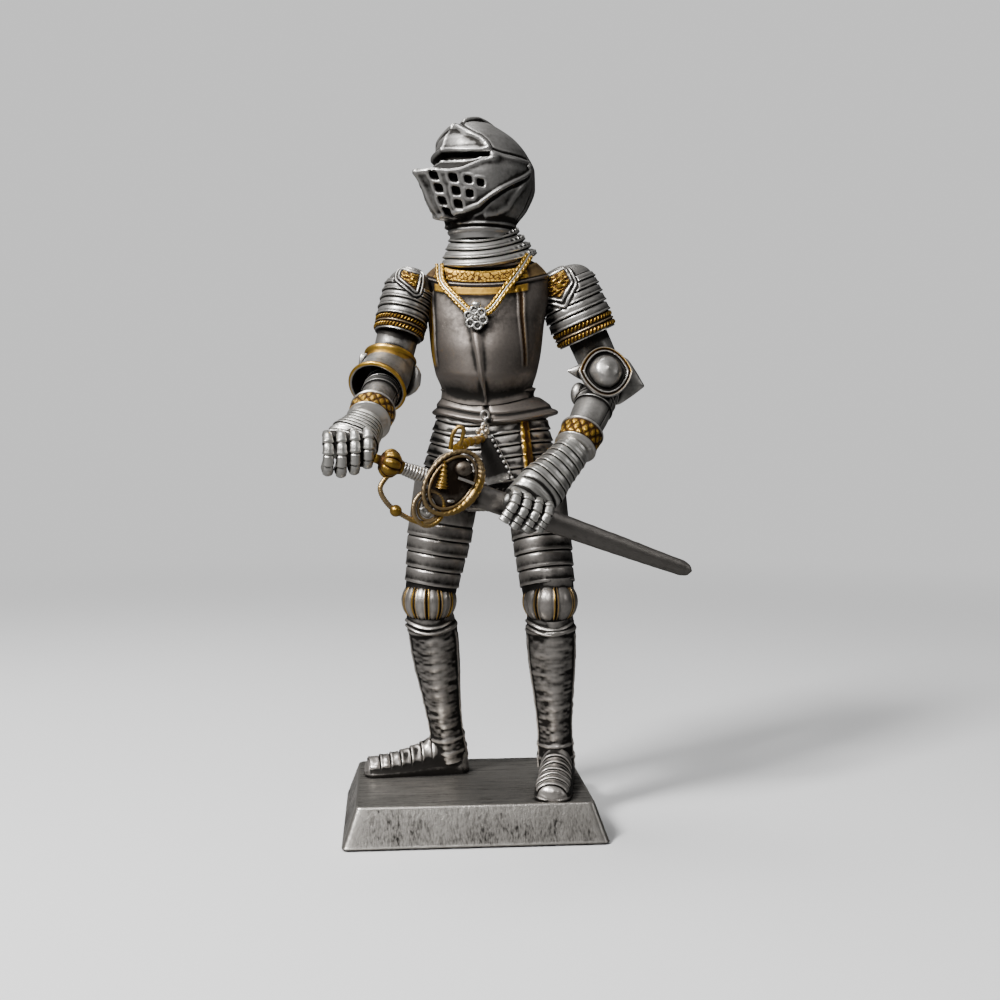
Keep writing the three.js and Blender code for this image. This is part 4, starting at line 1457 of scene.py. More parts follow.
class DomedElbow(Arm):
    """An elbow seen from outside: a dome in a double-rimmed lens, with a wing behind it."""

    def cop(self) -> list[Object]:
        """Lens with its dome, wing, inner tip and the round lower plate."""
        centre = np.array([19.3, -1.5, 59.05])
        look = unit(np.array([0.05, -0.94, 0.3]))
        sideways = -unit(np.cross(look, UP))
        rise = unit(UP - look * look[2])
        profile = (
            (0.0, 0.05, -3.6), (0.1, 0.6, -3.4), (0.2, 0.9, -1.6), (0.26, 0.98, -0.5), (0.3, 1.03, 0.0),
            (0.34, 1.0, 0.38), (0.38, 0.96, 0.36), (0.42, 0.92, 0.1), (0.46, 0.89, 0.1), (0.5, 0.86, 0.42),
            (0.54, 0.82, 0.42), (0.58, 0.77, 0.08), (0.62, 0.7, 0.0), (0.66, 0.65, 0.4), (0.72, 0.56, 1.05),
            (0.82, 0.4, 1.65), (1.0, 0.02, 2.1),
        )

        def lens(turn: Array, share: Array) -> Array:
            """Pointed outlines from the back over two rims to the round dome."""
            size, ahead = follow(profile, share).T
            c, s = np.cos(turn), np.sin(turn)
            point = step(0.5, 0.8, size)
            wide = (3.85 - 0.35 * (1 - point)) * size * s
            high = 3.75 * size * np.sign(c) * np.abs(c) ** (1 + 0.5 * point)
            return centre + look * ahead[:, None] + sideways * wide[:, None] + rise * high[:, None]

        def carve(relief: Relief) -> None:
            """Gold between the rims and behind them, strongest above."""
            upper = step(-0.3, 0.3, np.cos(relief.turn))
            relief.gild(plateau(relief.share, 0.36, 0.49, 0.01) * (0.4 + 0.6 * upper))
            relief.gild(0.8 * plateau(relief.share, 0.22, 0.33, 0.02) * upper)

        wing = Limb(((19.5, 1.8, 58.4), (25.7, 2.4, 57.2)), FRONT, (
            (0, 4.0, 1.0, 1.6), (0.45, 3.5, 0.9, 1.4), (0.7, 2.2, 0.7, 1.1), (0.95, 0.5, 0.4, 0.5),
            (1, 0.15, 0.15, 0.2),
        ))
        tip = Limb(((18.0, 0.6, 59.1), (14.1, 0.8, 59.3)), FRONT, (
            (0, 1.9, 0.9, 0.9), (0.6, 1.0, 0.6, 0.6), (1, 0.12, 0.12, 0.12),
        ))
        rows = levels((0, 0.25, 8), (0.27, 0.7, 50), (0.72, 1, 14))
        return [
            Bench.loft("lens", lens, rows, 170, carve),
            Bench.loft("wing", wing.base, np.linspace(0, 1, 24), 70, coat(0, 0.3)),
            Bench.loft("tip", tip.base, np.linspace(0, 1, 14), 40, coat(0, 0.3)),
            # The round lower plate is painted dark as painted shade behind the forearm.
            Bench.dome("lower_disc", (15.9, 1.6, 55.9), FRONT, (1.25, 1.0, 1.8), 0, 0.7),
        ]


@dataclass(frozen=True)
class Gauntlet:
    """A closed armoured hand: ribbed wrist, back of the hand, four fingers of small lames."""

    name: str
    wrist: Point
    knuckles: Point
    row: Point
    curl: Point
    tips: tuple
    spacing: float = 1.72

    def axes(self) -> tuple[Array, Array, Array]:
        """Unit vectors along the knuckles, out of the hand and down the fingers."""
        row, curl = unit(np.array(self.row, float)), unit(np.array(self.curl, float))
        out = unit(np.cross(curl, row))
        return row, -out if out[1] > 0 else out, curl

    def place(self, along: float, ahead: float, down: float) -> Array:
        """A point by its distances from the middle of the knuckles."""
        row, out, curl = self.axes()
        return np.array(self.knuckles) + row * along + out * ahead + curl * down

    def palm(self) -> Object:
        """Wrist and back of the hand."""
        start = np.array(self.wrist, float)
        end = self.place(0, -1.2, 1.6)
        along = unit(end - start)
        row = self.axes()[0]
        side = unit(row - along * row.dot(along))
        ahead = unit(np.cross(along, side))
        if ahead.dot(self.axes()[1]) < 0:
            ahead = -ahead

        def base(turn: Array, share: Array) -> Array:
            """Squarish sections that widen to the knuckles."""
            across, deep = follow((
                (-0.02, 2.1, 2.1), (0.03, 2.3, 2.2), (0.35, 2.7, 2.4), (0.7, 3.4, 2.4), (1.05, 3.4, 2.3),
                (1.12, 3.1, 1.9), (1.15, 2.3, 1.2),
            ), share).T
            wide = across * rounded(np.sin(turn), 2.6)
            high = deep * rounded(np.cos(turn), 2.6)
            centre = start + (end - start) * share[:, None]
            return centre + side * wide[:, None] + ahead * high[:, None]

        def carve(relief: Relief) -> None:
            """Wrist lames, bowed bands and a ridge to each finger."""
            relief.lames(0.03, 0.62, 6, 0.27)
            back = step(0.0, 0.5, np.cos(relief.turn))
            ridge = np.cos(np.sin(relief.turn) * 3.4 * math.pi / self.spacing)
            relief.height += 0.16 * ridge * back * step(0.8, 0.98, relief.share)
            bow = relief.share - 0.05 * np.sin(relief.turn) ** 2
            relief.height += 0.2 * (hump(bow, 0.9, 0.03) + hump(bow, 0.74, 0.025)) * back
            relief.height -= 0.2 * (hump(bow, 0.84, 0.02) + hump(bow, 0.69, 0.02)) * back
            relief.dark = 0.9 * step(0.9, 0.97, relief.share)

        rows = levels([-0.02, 0.02], plates(0.03, 0.62, 6), (0.63, 1.15, 34))
        return Bench.loft("palm", base, rows, 110, carve)

    def finger(self, number: int, reach: float) -> Object:
        """One finger of overlapping lames, curled.

        Args:
            number: 0 to 3 along the knuckles.
            reach: its length below the knuckles, in parts.

        Returns:
            The finger.
        """
        ends = [(front, reach * share) for front, share in self.tips]
        bent = [(-1.6, -0.5), (0.5, -0.1), (1.5, reach * 0.3), (1.3, reach * 0.7), *ends]
        line = [self.place((number - 1.5) * self.spacing, front, down) for front, down in bent]

        def size(share: Array) -> Array:
            """Half-thickness, with a blunt tip."""
            return 0.7 * np.clip(np.sqrt(np.clip(1.06 - share, 0, 1)) * 3.2, 0, 1)

        def carve(relief: Relief) -> None:
            """Lames, and dark gaps to the fingers beside it."""
            relief.lames(0.18, 0.98, 5, 0.24)
            gap = step(0.72, 0.9, np.abs(np.cos(relief.turn)))
            relief.height -= 0.1 * gap
            relief.darken(0.75 * gap)

        return Bench.cord("finger", line, size, 90, 26, carve)

    def build(self) -> Object:
        """Models the hand."""
        fingers = [self.finger(i, reach) for i, reach in enumerate((4.0, 4.4, 4.2, 3.6))]
        return Bench.weld(self.name, [self.palm(), *fingers])


@dataclass(frozen=True)
class Leg:
    """Thigh lames, melon-fluted knee, hammered greave and laminated shoe."""

    name: str
    hip: Point
    knee: Point
    ankle: Point
    thick: float
    toe: Point
    heel: Point
    flutes: int
    seam: float

    def thigh(self) -> Object:
        """The thigh with its lower lames."""
        form = Limb((self.hip, self.knee), FRONT, (
            (0, self.thick + 0.2, 4.6, 4.6),
            (0.4, self.thick, self.thick, self.thick),
            (0.84, 3.8, 3.8, 3.8),
            (1.0, 3.6, 3.6, 3.6),
        ))

        def carve(relief: Relief) -> None:
            """Lames, and a seam to each side above them."""
            relief.lames(0.34, 0.86, 4, 0.28)
            relief.height += 0.12 * hump(np.abs(relief.turn), 1.7, 0.06) * step(0.34, 0.3, relief.share)
            relief.dark[:] = 0.16

        rows = levels((0, 0.33, 16), plates(0.34, 0.86, 4), [0.88, 0.94, 1.0])
        return Bench.loft("thigh", form.base, rows, 168, carve)

    def poleyn(self) -> list[Object]:
        """The knee: a fluted ball with gilt lines that stands out of a banded sleeve."""
        middle = np.array(self.knee, float)

        def sleeve(turn: Array, share: Array) -> Array:
            """A tube round the knee that sags in front."""
            sag = 0.9 * step(0.5, 0.7, share) * np.maximum(0, np.cos(turn)) ** 2
            high = 3.7 - 7.4 * share - sag
            radius = 3.35 - 0.1 * share
            return middle + np.stack([radius * np.sin(turn), -radius * np.cos(turn), high], 1)

        def bands(relief: Relief) -> None:
            """Two raised bands below the ball."""
            s = relief.share
            relief.height += 0.3 * (hump(s, 0.87, 0.03) + hump(s, 0.97, 0.025)) - 0.2 * hump(s, 0.92, 0.02)

        def ball(turn: Array, share: Array) -> Array:
            """Level rings from the top, flatter behind."""
            around = 4.0 * np.sin(share * math.pi)
            ahead = around * np.cos(turn) * np.where(np.cos(turn) > 0, 1, 0.7)
            high = 3.55 * np.cos(share * math.pi) + 0.15
            return middle + np.stack([around * np.sin(turn), -0.35 - ahead, high], 1)

        def flutes(relief: Relief) -> None:
            """Melon lobes with a gilt line on each side of every groove."""
            lobes = np.abs(np.sin((relief.turn - self.seam) * self.flutes / 2))
            width = self.flutes / 8
            relief.height += 0.34 * lobes**0.6 - 0.3
            line = hump(lobes, 0.26 * width, 0.12 * width)
            relief.height += 0.17 * line
            relief.gild(step(0.3, 0.7, line))
            relief.darken(0.6 * hump(lobes, 0, 0.07 * width))

        return [
            Bench.loft("knee_sleeve", sleeve, np.linspace(0, 1, 50), 120, bands),
            Bench.loft("knee_ball", ball, np.linspace(0.05, 0.95, 56), 200, flutes),
        ]

    def greave(self) -> Object:
        """The shin plate, hammered uneven, with seam ridges and a band below the knee."""
        fall = np.array(self.ankle, float) - np.array(self.knee, float)
        low = tuple(np.array(self.ankle) + fall * 0.12)
        form = Limb((self.knee, low), FRONT, (
            (0.09, 3.3, 3.3, 3.3), (0.21, 3.6, 3.4, 3.7), (0.38, 3.4, 3.1, 3.7), (0.61, 2.8, 2.9, 2.9),
            (0.8, 2.5, 2.5, 2.5), (0.9, 2.6, 2.6, 2.6), (1.0, 2.75, 2.75, 2.75),
        ), keel=0.3)
        seed = 11 if self.hip[0] < 0 else 12

        def carve(relief: Relief) -> None:
            """Dents, deepest in front, between the band and the ankle's two rims, and a painted highlight
            down the front.
            """
            s, turn = relief.share, relief.turn
            relief.height += 0.22 * hump(s, 0.16, 0.014)
            plain = step(0.17, 0.2, s)
            dents = 0.07 * wrinkle(turn, s, 10, 34, seed) + 0.035 * wrinkle(turn, s, 24, 70, seed + 7)
            relief.height += plain * dents * (0.35 + 0.65 * step(-0.2, 0.6, np.cos(turn)))
            for side, size in ((1.05, 0.26), (-1.3, 0.2)):
                relief.height += size * hump(turn, side, 0.06) * plain
            relief.height += 0.16 * (hump(s, 0.86, 0.012) + hump(s, 0.94, 0.012))
            # The metal is left lighter in a narrow column down the front of the shin and darker to the
            # sides: a painted highlight.
            relief.dark = 0.16 * step(0.1, 0.5, np.abs(turn - 0.05))

        rows = np.linspace(0.09, 1.0, 170)
        return Bench.loft("greave", form.base, rows, 130, carve)

    def shoe(self) -> Object:
        """The shoe of lames with its thin flat sole."""
        start, end = np.array(self.heel, float), np.array(self.toe, float)
        along = end - start
        side = unit(np.cross(UP, along))

        def base(turn: Array, share: Array) -> Array:
            """Half-round sections with a flat sole, from heel to toe."""
            across, high = follow((
                (0.0, 1.2, 2.6), (0.03, 2.0, 4.4), (0.1, 2.4, 5.0), (0.34, 2.45, 5.2), (0.44, 2.45, 4.3),
                (0.6, 2.5, 3.3), (0.8, 2.55, 2.6), (0.93, 2.4, 2.3), (0.98, 1.8, 1.8), (1.0, 1.0, 1.2),
            ), share).T
            up = np.clip(np.cos(turn), 0, 1) ** 0.8 * high
            wide = across * np.sin(turn)
            centre = start + along * share[:, None]
            return centre + side * wide[:, None] + UP * up[:, None]

        def carve(relief: Relief) -> None:
            """Lames over the instep and a welt above the plain sole."""
            up = np.cos(relief.turn)
            top = step(0.35, 0.6, up)
            relief.lames(0.36, 0.96, 6, 0.36, top)
            relief.height += 0.12 * wrinkle(relief.turn, relief.share, 12, 20, 31) * top
            relief.height += 0.1 * hump(np.abs(relief.turn), math.pi / 2 - 0.12, 0.07)
            relief.height *= step(-0.02, 0.02, up)
            relief.darken(0.8 * step(0.6, 0.35, up))

        rows = levels([0, 0.008], (0.02, 0.36, 26), plates(0.36, 0.96, 6), [0.965, 0.98, 0.99, 1.0])
        return Bench.loft("shoe", base, rows, 120, carve)

    def build(self) -> Object:
        """Models the leg from hip to toe."""
        return Bench.weld(self.name, [self.thigh(), *self.poleyn(), self.greave(), self.shoe()])


@dataclass(frozen=True)
class Collar:
    """Double cord collar with a round openwork badge on the breast."""

    badge: Point = (0.46, -4.1, 66.4)
    lines: tuple = (
        ((-4.5, 0.5, 74.5), (-4.3, -1.4, 71.8), (-2.5, -3.0, 69.4), (-0.8, -3.9, 67.6), (0.2, -4.2, 66.8)),
        ((8.2, -1.6, 75.6), (6.8, -2.9, 73.4), (4.65, -3.9, 70.6), (2.65, -4.35, 67.9), (1.2, -4.4, 66.9)),
    )

    def cords(self) -> list[Object]:
        """To each side two gilt cords with a silver one between them."""
        strands = ((-0.36, self.twist, 0.25), (0.36, self.twist, 0.25), (0, coat(0, 0.35), 0.2))
        made = []
        for line in self.lines:
            points = np.array(line)
            along = unit(np.gradient(points, axis=0))
            sideways = unit(np.cross(along, FRONT))
            for shift, carve, size in strands:
                made.append(Bench.cord("cord", points + sideways * shift, even(size), 110, 12, carve))
        return made

    @staticmethod
    def twist(relief: Relief) -> None:
        """Strands of a gilt cord."""
        relief.height += 0.05 * np.cos(relief.turn * 2 + relief.share * 110)
        relief.gilt[:] = 1

    def build(self) -> Object:
        """Models the collar and its badge."""
        look = unit(np.array([-0.15, -1, 0.0]))
        sideways = unit(np.cross(look, UP))
        rise = np.cross(sideways, look)
        centre = np.array(self.badge, float) + look * 0.55
        pieces = [Bench.dome("plate", centre - look * 0.3, look, (1.55, 0.35, 1.6), 0, 0.9)]
        for k in range(6):
            a = math.tau * k / 6 + 0.3
            middle = centre + (sideways * math.cos(a) + rise * math.sin(a)) * 1.1
            ring = [
                middle + (sideways * math.cos(b) + rise * math.sin(b)) * 0.52
                for b in np.linspace(0, math.tau, 13)
            ]
            pieces.append(Bench.cord("petal", ring, even(0.17), 30, 8))
        pieces.append(Bench.dome("bead", centre + look * 0.1, look, (0.36, 0.36, 0.36)))
        pieces.append(Bench.dome("loop", centre + rise * 1.85, look, (0.7, 0.45, 0.5)))
        return Bench.join("collar", [*pieces, *self.cords()])


@dataclass(frozen=True)
class Sword:
    """Swept-hilt sword: button, melon pommel, wire grip, guard of bars and rings, ridged blade."""

    length: float = 50.6
    guard_at: float = 11.5
    blade_width: float = 3.2
    tip_width: float = 2.3
    thickness: float = 1.3

    @property
    def pommel(self) -> Array:
        """Start of the sword in parts."""
        return np.array([-13.8, -16.7, 47.0])

    def axes(self) -> tuple[Array, Array, Array]:
        """Unit vectors along the sword, up its edge and towards its face."""
        along = unit(np.array([9.6, -9.0, 38.4]) - self.pommel)
        up = unit(UP - along * along[2])
        return along, up, np.cross(along, up)

    def spot(self, along: float, up: float, face: float) -> Array:
        """A point of the sword in parts, from millimetres along, up and towards the face."""
        a, u, f = self.axes()
        return self.pommel + (a * along + u * up + f * face) * (0.001 / PART)

    def blade(self) -> Object:
        """The blade with its flat sides, low ridge and round tip."""
        tip = self.tip_width * 0.8
        stations = (
            (self.guard_at - 0.5, self.blade_width * 0.4),
            (self.guard_at + 2, self.blade_width / 2),
            (self.length - tip, self.tip_width / 2),
            (self.length - tip * 0.3, self.tip_width * 0.37),
            (self.length, self.tip_width * 0.1),
        )

        def base(turn: Array, share: Array) -> Array:
            """Flat oval sections, with the share in millimetres from the button's end."""
            half = follow(stations, share)[:, 0]
            c, s = np.cos(turn), np.sin(turn)
            up = half * rounded(s, 3.2)
            face = self.thickness / 2 * rounded(c, 2.6) * np.clip(half * 2, 0.3, 1)
            a, u, f = self.axes()
            return self.pommel + (a * share[:, None] + u * up[:, None] + f * face[:, None]) * (0.001 / PART)

        def carve(relief: Relief) -> None:
            """A low ridge on both faces, slight unevenness, and painted shade where the blade runs into the
            guard.
            """
            flat = np.abs(np.cos(relief.turn))
            relief.height += 0.1 * hump(np.abs(np.sin(relief.turn)), 0, 0.3) * step(0.5, 0.8, flat)
            along = (relief.share - self.guard_at) / self.length
            relief.height += 0.03 * wrinkle(relief.turn, along, 9, 60, 3)
            # Painted shade: the blade is darkened where it passes inside the guard.
            relief.darken(0.8 * (1 - step(self.guard_at + 3.6, self.guard_at + 4.6, relief.share)))

        rows = levels((self.guard_at - 0.5, self.length - tip, 90), (self.length - tip, self.length, 14))
        return Bench.loft("blade", base, rows, 40, carve)

    def handle(self) -> list[Object]:
        """Button, fluted pommel and wire-wound grip."""
        a, u, f = self.axes()

        def turned(profile: Sequence[Point]) -> Base:
            """The surface of a round piece on the sword's axis, from stations and radii."""

            def base(turn: Array, share: Array) -> Array:
                """Rings round the axis."""
                radius = follow(profile, share)[:, 0:1]
                spread = u * np.cos(turn)[:, None] + f * np.sin(turn)[:, None]
                return self.pommel + (a * share[:, None] + spread * radius) * (0.001 / PART)

            return base

        def pommel_carve(relief: Relief) -> None:
            """Eight melon lobes, gilt all over."""
            melon = plateau(relief.share, 1.2, 3.6, 0.2)
            relief.height += melon * (0.3 * np.abs(np.cos(relief.turn * 4)) ** 0.6 - 0.25)
            relief.gilt[:] = 1

        def grip_carve(relief: Relief) -> None:
            """Wire wound round the grip, with painted shade where it meets the guard."""
            relief.height += 0.13 * np.abs(np.sin(relief.share * 7.5 + relief.turn * 0.5))
            # Painted shade where the grip runs into the guard.
            relief.darken(0.7 * step(9.6, 10.4, relief.share))

        pommel = turned((
            (0, 0.35), (0.15, 0.6), (0.7, 0.62), (0.95, 0.7), (1.35, 1.5), (2.2, 1.93), (3.1, 1.65),
            (3.7, 1.05), (4.1, 0.9),
        ))
        grip = turned(((3.8, 0.75), (7.7, 0.98), (11.4, 0.78), (12.6, 0.7)))
        return [
            Bench.loft("pommel", pommel, levels((0, 4.1, 50)), 96, pommel_carve),
            Bench.loft("grip", grip, levels((3.8, 12.6, 130)), 32, grip_carve),
        ]

    def bars(self) -> list[Object]:
        """The guard: double ring and what fills it, filled side loop, knuckle bow, hook and bead."""
        g = self.guard_at
        worn = coat(0.8, 0.5)

        def roped(relief: Relief) -> None:
            """Twisted gilt bar, worn brown in its middle."""
            wear = (1 - np.cos(relief.share * math.tau)) / 2
            relief.gilt[:] = 1 - 0.3 * wear
            relief.dark[:] = 0.6 * wear
            relief.height += 0.04 * np.cos(relief.turn * 2 + relief.share * 230)

        def oval(centre: Point, half: float, tall: float, lean: float) -> list[Array]:
            """Points of a leaning oval in the sword's own plane, from its front end round."""
            along, up, face = centre
            return [
                self.spot(along + half * math.cos(b) + lean * math.sin(b), up + tall * math.sin(b), face)
                for b in np.linspace(0, math.tau, 25)
            ]

        def line(*points: Point) -> list[Array]:
            """Points of the sword, each from millimetres along, up and towards the face."""
            return [self.spot(*point) for point in points]

        def ribbed(relief: Relief) -> None:
            """Gilt rings of the cone."""
            relief.gilt[:] = 1
            relief.height += 0.08 * np.cos(relief.share * 44)

        def heavy(share: Array) -> Array:
            """Half-thickness of the ring, stout at its ends."""
            return 0.3 + 0.4 * np.maximum(0, np.cos(share * math.tau)) ** 2

        hook = (
            (-3.7, -14.3, 48.0), (-3.35, -14.3, 50.1), (-2.6, -14.3, 51.0), (-1.95, -14.3, 50.7),
            (-2.1, -14.2, 49.6), (-2.5, -14.1, 48.5),
        )
        finial = ((-4.9, -15.5, 43.0), (-4.7, -15.6, 44.4), (-4.45, -15.4, 46.5))
        spur = ((-2.7, -15.0, 44.3), (-1.6, -14.9, 43.9), (-0.6, -14.7, 43.5))

        middle = (g - 0.55, 0.3)
        out = self.axes()[2]
        return [
            Bench.cord("ring", oval((*middle, 1.35), 3.5, 4.5, 0.95), heavy, 160, 14, roped),
            Bench.cord("ring_inner", oval((*middle, 1.4), 2.8, 3.8, 0.8), even(0.24), 120, 10, worn),
            # The shell plate is painted dark as painted shade inside the ring of the guard.
            Bench.dome("shell", self.spot(*middle, 0.95), out, (3.3, 0.45, 4.1), 0.3, 0.9),
            Bench.cord("loop", oval((g - 2.5, -3.9, 1.0), 2.1, 2.3, 0), even(0.32), 120, 12, roped),
            Bench.cord("loop_inner", oval((g - 2.5, -3.9, 0.9), 1.45, 1.6, 0), even(0.2), 90, 8, worn),
            Bench.cord("scroll", line(
                (g - 3.7, -3.2, 0.9), (g - 2.6, -2.7, 0.9), (g - 1.7, -3.7, 0.9),
                (g - 2.5, -4.9, 0.9), (g - 3.4, -4.4, 0.9), (g - 2.6, -3.7, 0.9),
            ), even(0.26), 70, 10),
            *(
                Bench.dome("petal", self.spot(g - 2.5 + x, -3.9 + y, 0.75), out, (0.5, 0.3, 0.5), 0, 0.2)
                for x, y in ((0.75, 0.3), (-0.1, 0.85), (-0.75, -0.1), (0.2, -0.8))
            ),
            Bench.cord("bow", line(
                (2.7, -1.2, 0), (2.1, -3.5, 0.2), (3.9, -5.2, 0.4), (g - 4.9, -5.95, 0.7),
                (g - 2.6, -6.1, 1.0),
            ), even(0.34), 110, 12, roped),
            Bench.cord("lower_bar", line(
                (g - 2.6, -6.1, 1.0), (g - 1.2, -5.2, 0.9), (g - 0.6, -4.1, 0.7),
            ), even(0.34), 40, 12, worn),
            Bench.cord("hook", hook, even(0.29), 60, 12, coat(1, 0)),
            Bench.cord("finial", finial, lambda share: 0.85 - 0.62 * share, 50, 20, ribbed),
            Bench.dome("knob", (-1.95, -14.9, 45.5), FRONT, (1.2, 0.6, 1.0), 0.3, 1),
            Bench.cord("spur", spur, even(0.22), 24, 10),
            Bench.dome("drop", (-3.7, -15.0, 41.2), FRONT, (0.55, 0.35, 0.28), 0, 0.3),
            Bench.dome("bead", self.spot(g - 6.6, -5.6, 0.7), (0, -1, 0), (0.8, 0.8, 0.8), 1),
        ]


@dataclass(frozen=True)
class Hanger:
    """What hangs from the waist: chain links, a rosette, the studded strap and its gilt bar."""

    hook: Point = (1.65, -4.35, 52.8)
    rosette: Point = (1.3, -4.5, 50.3)

    @staticmethod
    def link(centre: Point, across: Point, size: float) -> Object:
        """One upright wire link.

        Args:
            centre: its middle in parts.
            across: level direction in its plane.
            size: half its width in parts.

        Returns:
            The link.
        """
        side = np.array(across, float)
        ring = [
            np.array(centre) + side * math.cos(b) * size + UP * math.sin(b) * size * 1.15
            for b in np.linspace(0, math.tau, 15)
        ]
        return Bench.cord("link", ring, even(0.17), 36, 8)

    def strap(self) -> list[Object]:
        """The dark strap that widens downwards, and the studs on its edge."""
        form = Limb(((1.9, -4.2, 49.8), (2.5, -4.4, 47.4), (3.7, -4.6, 43.4)), FRONT, (
            (0, 0.7, 0.3, 0.3), (0.1, 0.95, 0.35, 0.35), (0.5, 1.35, 0.4, 0.4), (0.9, 1.9, 0.4, 0.4),
            (1, 1.8, 0.3, 0.3),
        ), power=3)

        def leather(relief: Relief) -> None:
            """Dark, with a paler raised edge."""
            relief.dark[:] = 0.85 - 0.5 * hump(np.sin(relief.turn), 0.93, 0.06)
            relief.height += 0.14 * hump(np.sin(relief.turn), 0.93, 0.08)

        studs = [
            Bench.dome("stud", (2.75 + 2.7 * k / 7, -4.9, 49.2 - 5.2 * k / 7), FRONT, (0.26, 0.26, 0.26))
            for k in range(8)
        ]
        return [Bench.loft("strap", form.base, np.linspace(0, 1, 30), 60, leather), *studs]

    def build(self) -> Object:
        """Models the chain, the rosette, the strap and the bar."""
        front, edge = (1, 0, 0), (0, 1, 0)
        x, y, z = self.hook
        links = ((0, front, 0.52), (0.85, edge, 0.5), (1.7, front, 0.48))
        pieces = [self.link((x, y, z - fall), across, size) for fall, across, size in links]
        for k in range(5):
            a = math.tau * k / 5 + 0.3
            spot = np.array(self.rosette) + np.array([math.cos(a), 0, math.sin(a)]) * 0.62
            pieces.append(Bench.dome("petal", spot, FRONT, (0.4, 0.3, 0.4), 0.4))
        pieces.append(Bench.dome("heart", np.array(self.rosette) + FRONT * 0.2, FRONT, (0.36, 0.36, 0.36)))

        def ribs(relief: Relief) -> None:
            """Gilt rings round the bar."""
            relief.gilt[:] = 1
            relief.height += 0.1 * np.cos(relief.share * 30)

        bar = [(-2.6, -12.6, 48.1), (-1.2, -9.0, 48.9), (1.2, -4.6, 49.4)]
        pieces.append(Bench.cord("bar", bar, lambda share: 0.72 - 0.2 * share, 60, 16, ribs))
        return Bench.join("hanger", [*pieces, *self.strap()])


@dataclass(frozen=True)
class Plinth:
    """Flat plinth with sloped sides, brushed, with soft bright edges."""

    slope: float = 0.0018
    corner: float = 0.0009
    height: float = 0.0052

    def outline(self, turn: Array, half: Array) -> Array:
        """Points on a rectangle with rounded corners.

        Args:
            turn: where on the outline, as an angle from 0 at the front.
            half: half-sizes across and back for each point, in metres.

        Returns:
            Flat points in metres.
        """
        r = self.corner
        corner = np.linspace(0, math.pi / 2, 12)
        w, d = PLINTH_BOX[1][0] - r, PLINTH_BOX[1][1] - r
        arcs = [(w, -d, -math.pi / 2), (w, d, 0), (-w, d, math.pi / 2), (-w, -d, math.pi)]
        loop = [(0.0, -d - r)]
        for x, y, start in arcs:
            loop += [(x + r * math.cos(start + a), y + r * math.sin(start + a)) for a in corner]
        loop.append((0.0, -d - r))
        path = np.array(loop)
        run = np.concatenate([[0], np.cumsum(np.linalg.norm(np.diff(path, axis=0), axis=1))])
        at = (turn % math.tau) / math.tau * run[-1]
        flat = np.stack([np.interp(at, run, path[:, k]) for k in (0, 1)], 1)
        return flat * half / np.array([w + r, d + r])

    def build(self) -> Object:
        """Models the plinth."""
        x, y = PLINTH_BOX[1][0], PLINTH_BOX[1][1]
        s, h = self.slope, self.height
        profile = (
            (0.0, x * 0.5, y * 0.4, 0),
            (0.15, x - 0.0005, y - 0.0005, 0),
            (0.17, x - 0.0001, y - 0.0001, 0.00003),
            (0.185, x, y, 0.00015),
            (0.2, x - 0.0001, y - 0.0001, 0.0004),
            (0.55, x - s + 0.0001, y - s + 0.0001, h - 0.00035),
            (0.565, x - s, y - s, h - 0.0001),
            (0.58, x - s - 0.00015, y - s - 0.00015, h),
            (0.6, x - s - 0.0005, y - s - 0.0005, h - 0.00002),
            (1.0, 0.0004, 0.0003, h - 0.00002),
        )

        def base(turn: Array, share: Array) -> Array:
            """Rounded rectangles from under the block up to its top."""
            rows = follow(profile, share)
            flat = self.outline(turn, rows[:, :2])
            return (np.concatenate([flat, rows[:, 2:]], 1) - FOOTING) / PART

        upper = (0.545, 0.62, 12)
        rows = levels([0, 0.08, 0.15], (0.16, 0.21, 9), (0.24, 0.53, 6), upper, (0.65, 1, 5))
        return Bench.loft("plinth_block", base, rows, 420)


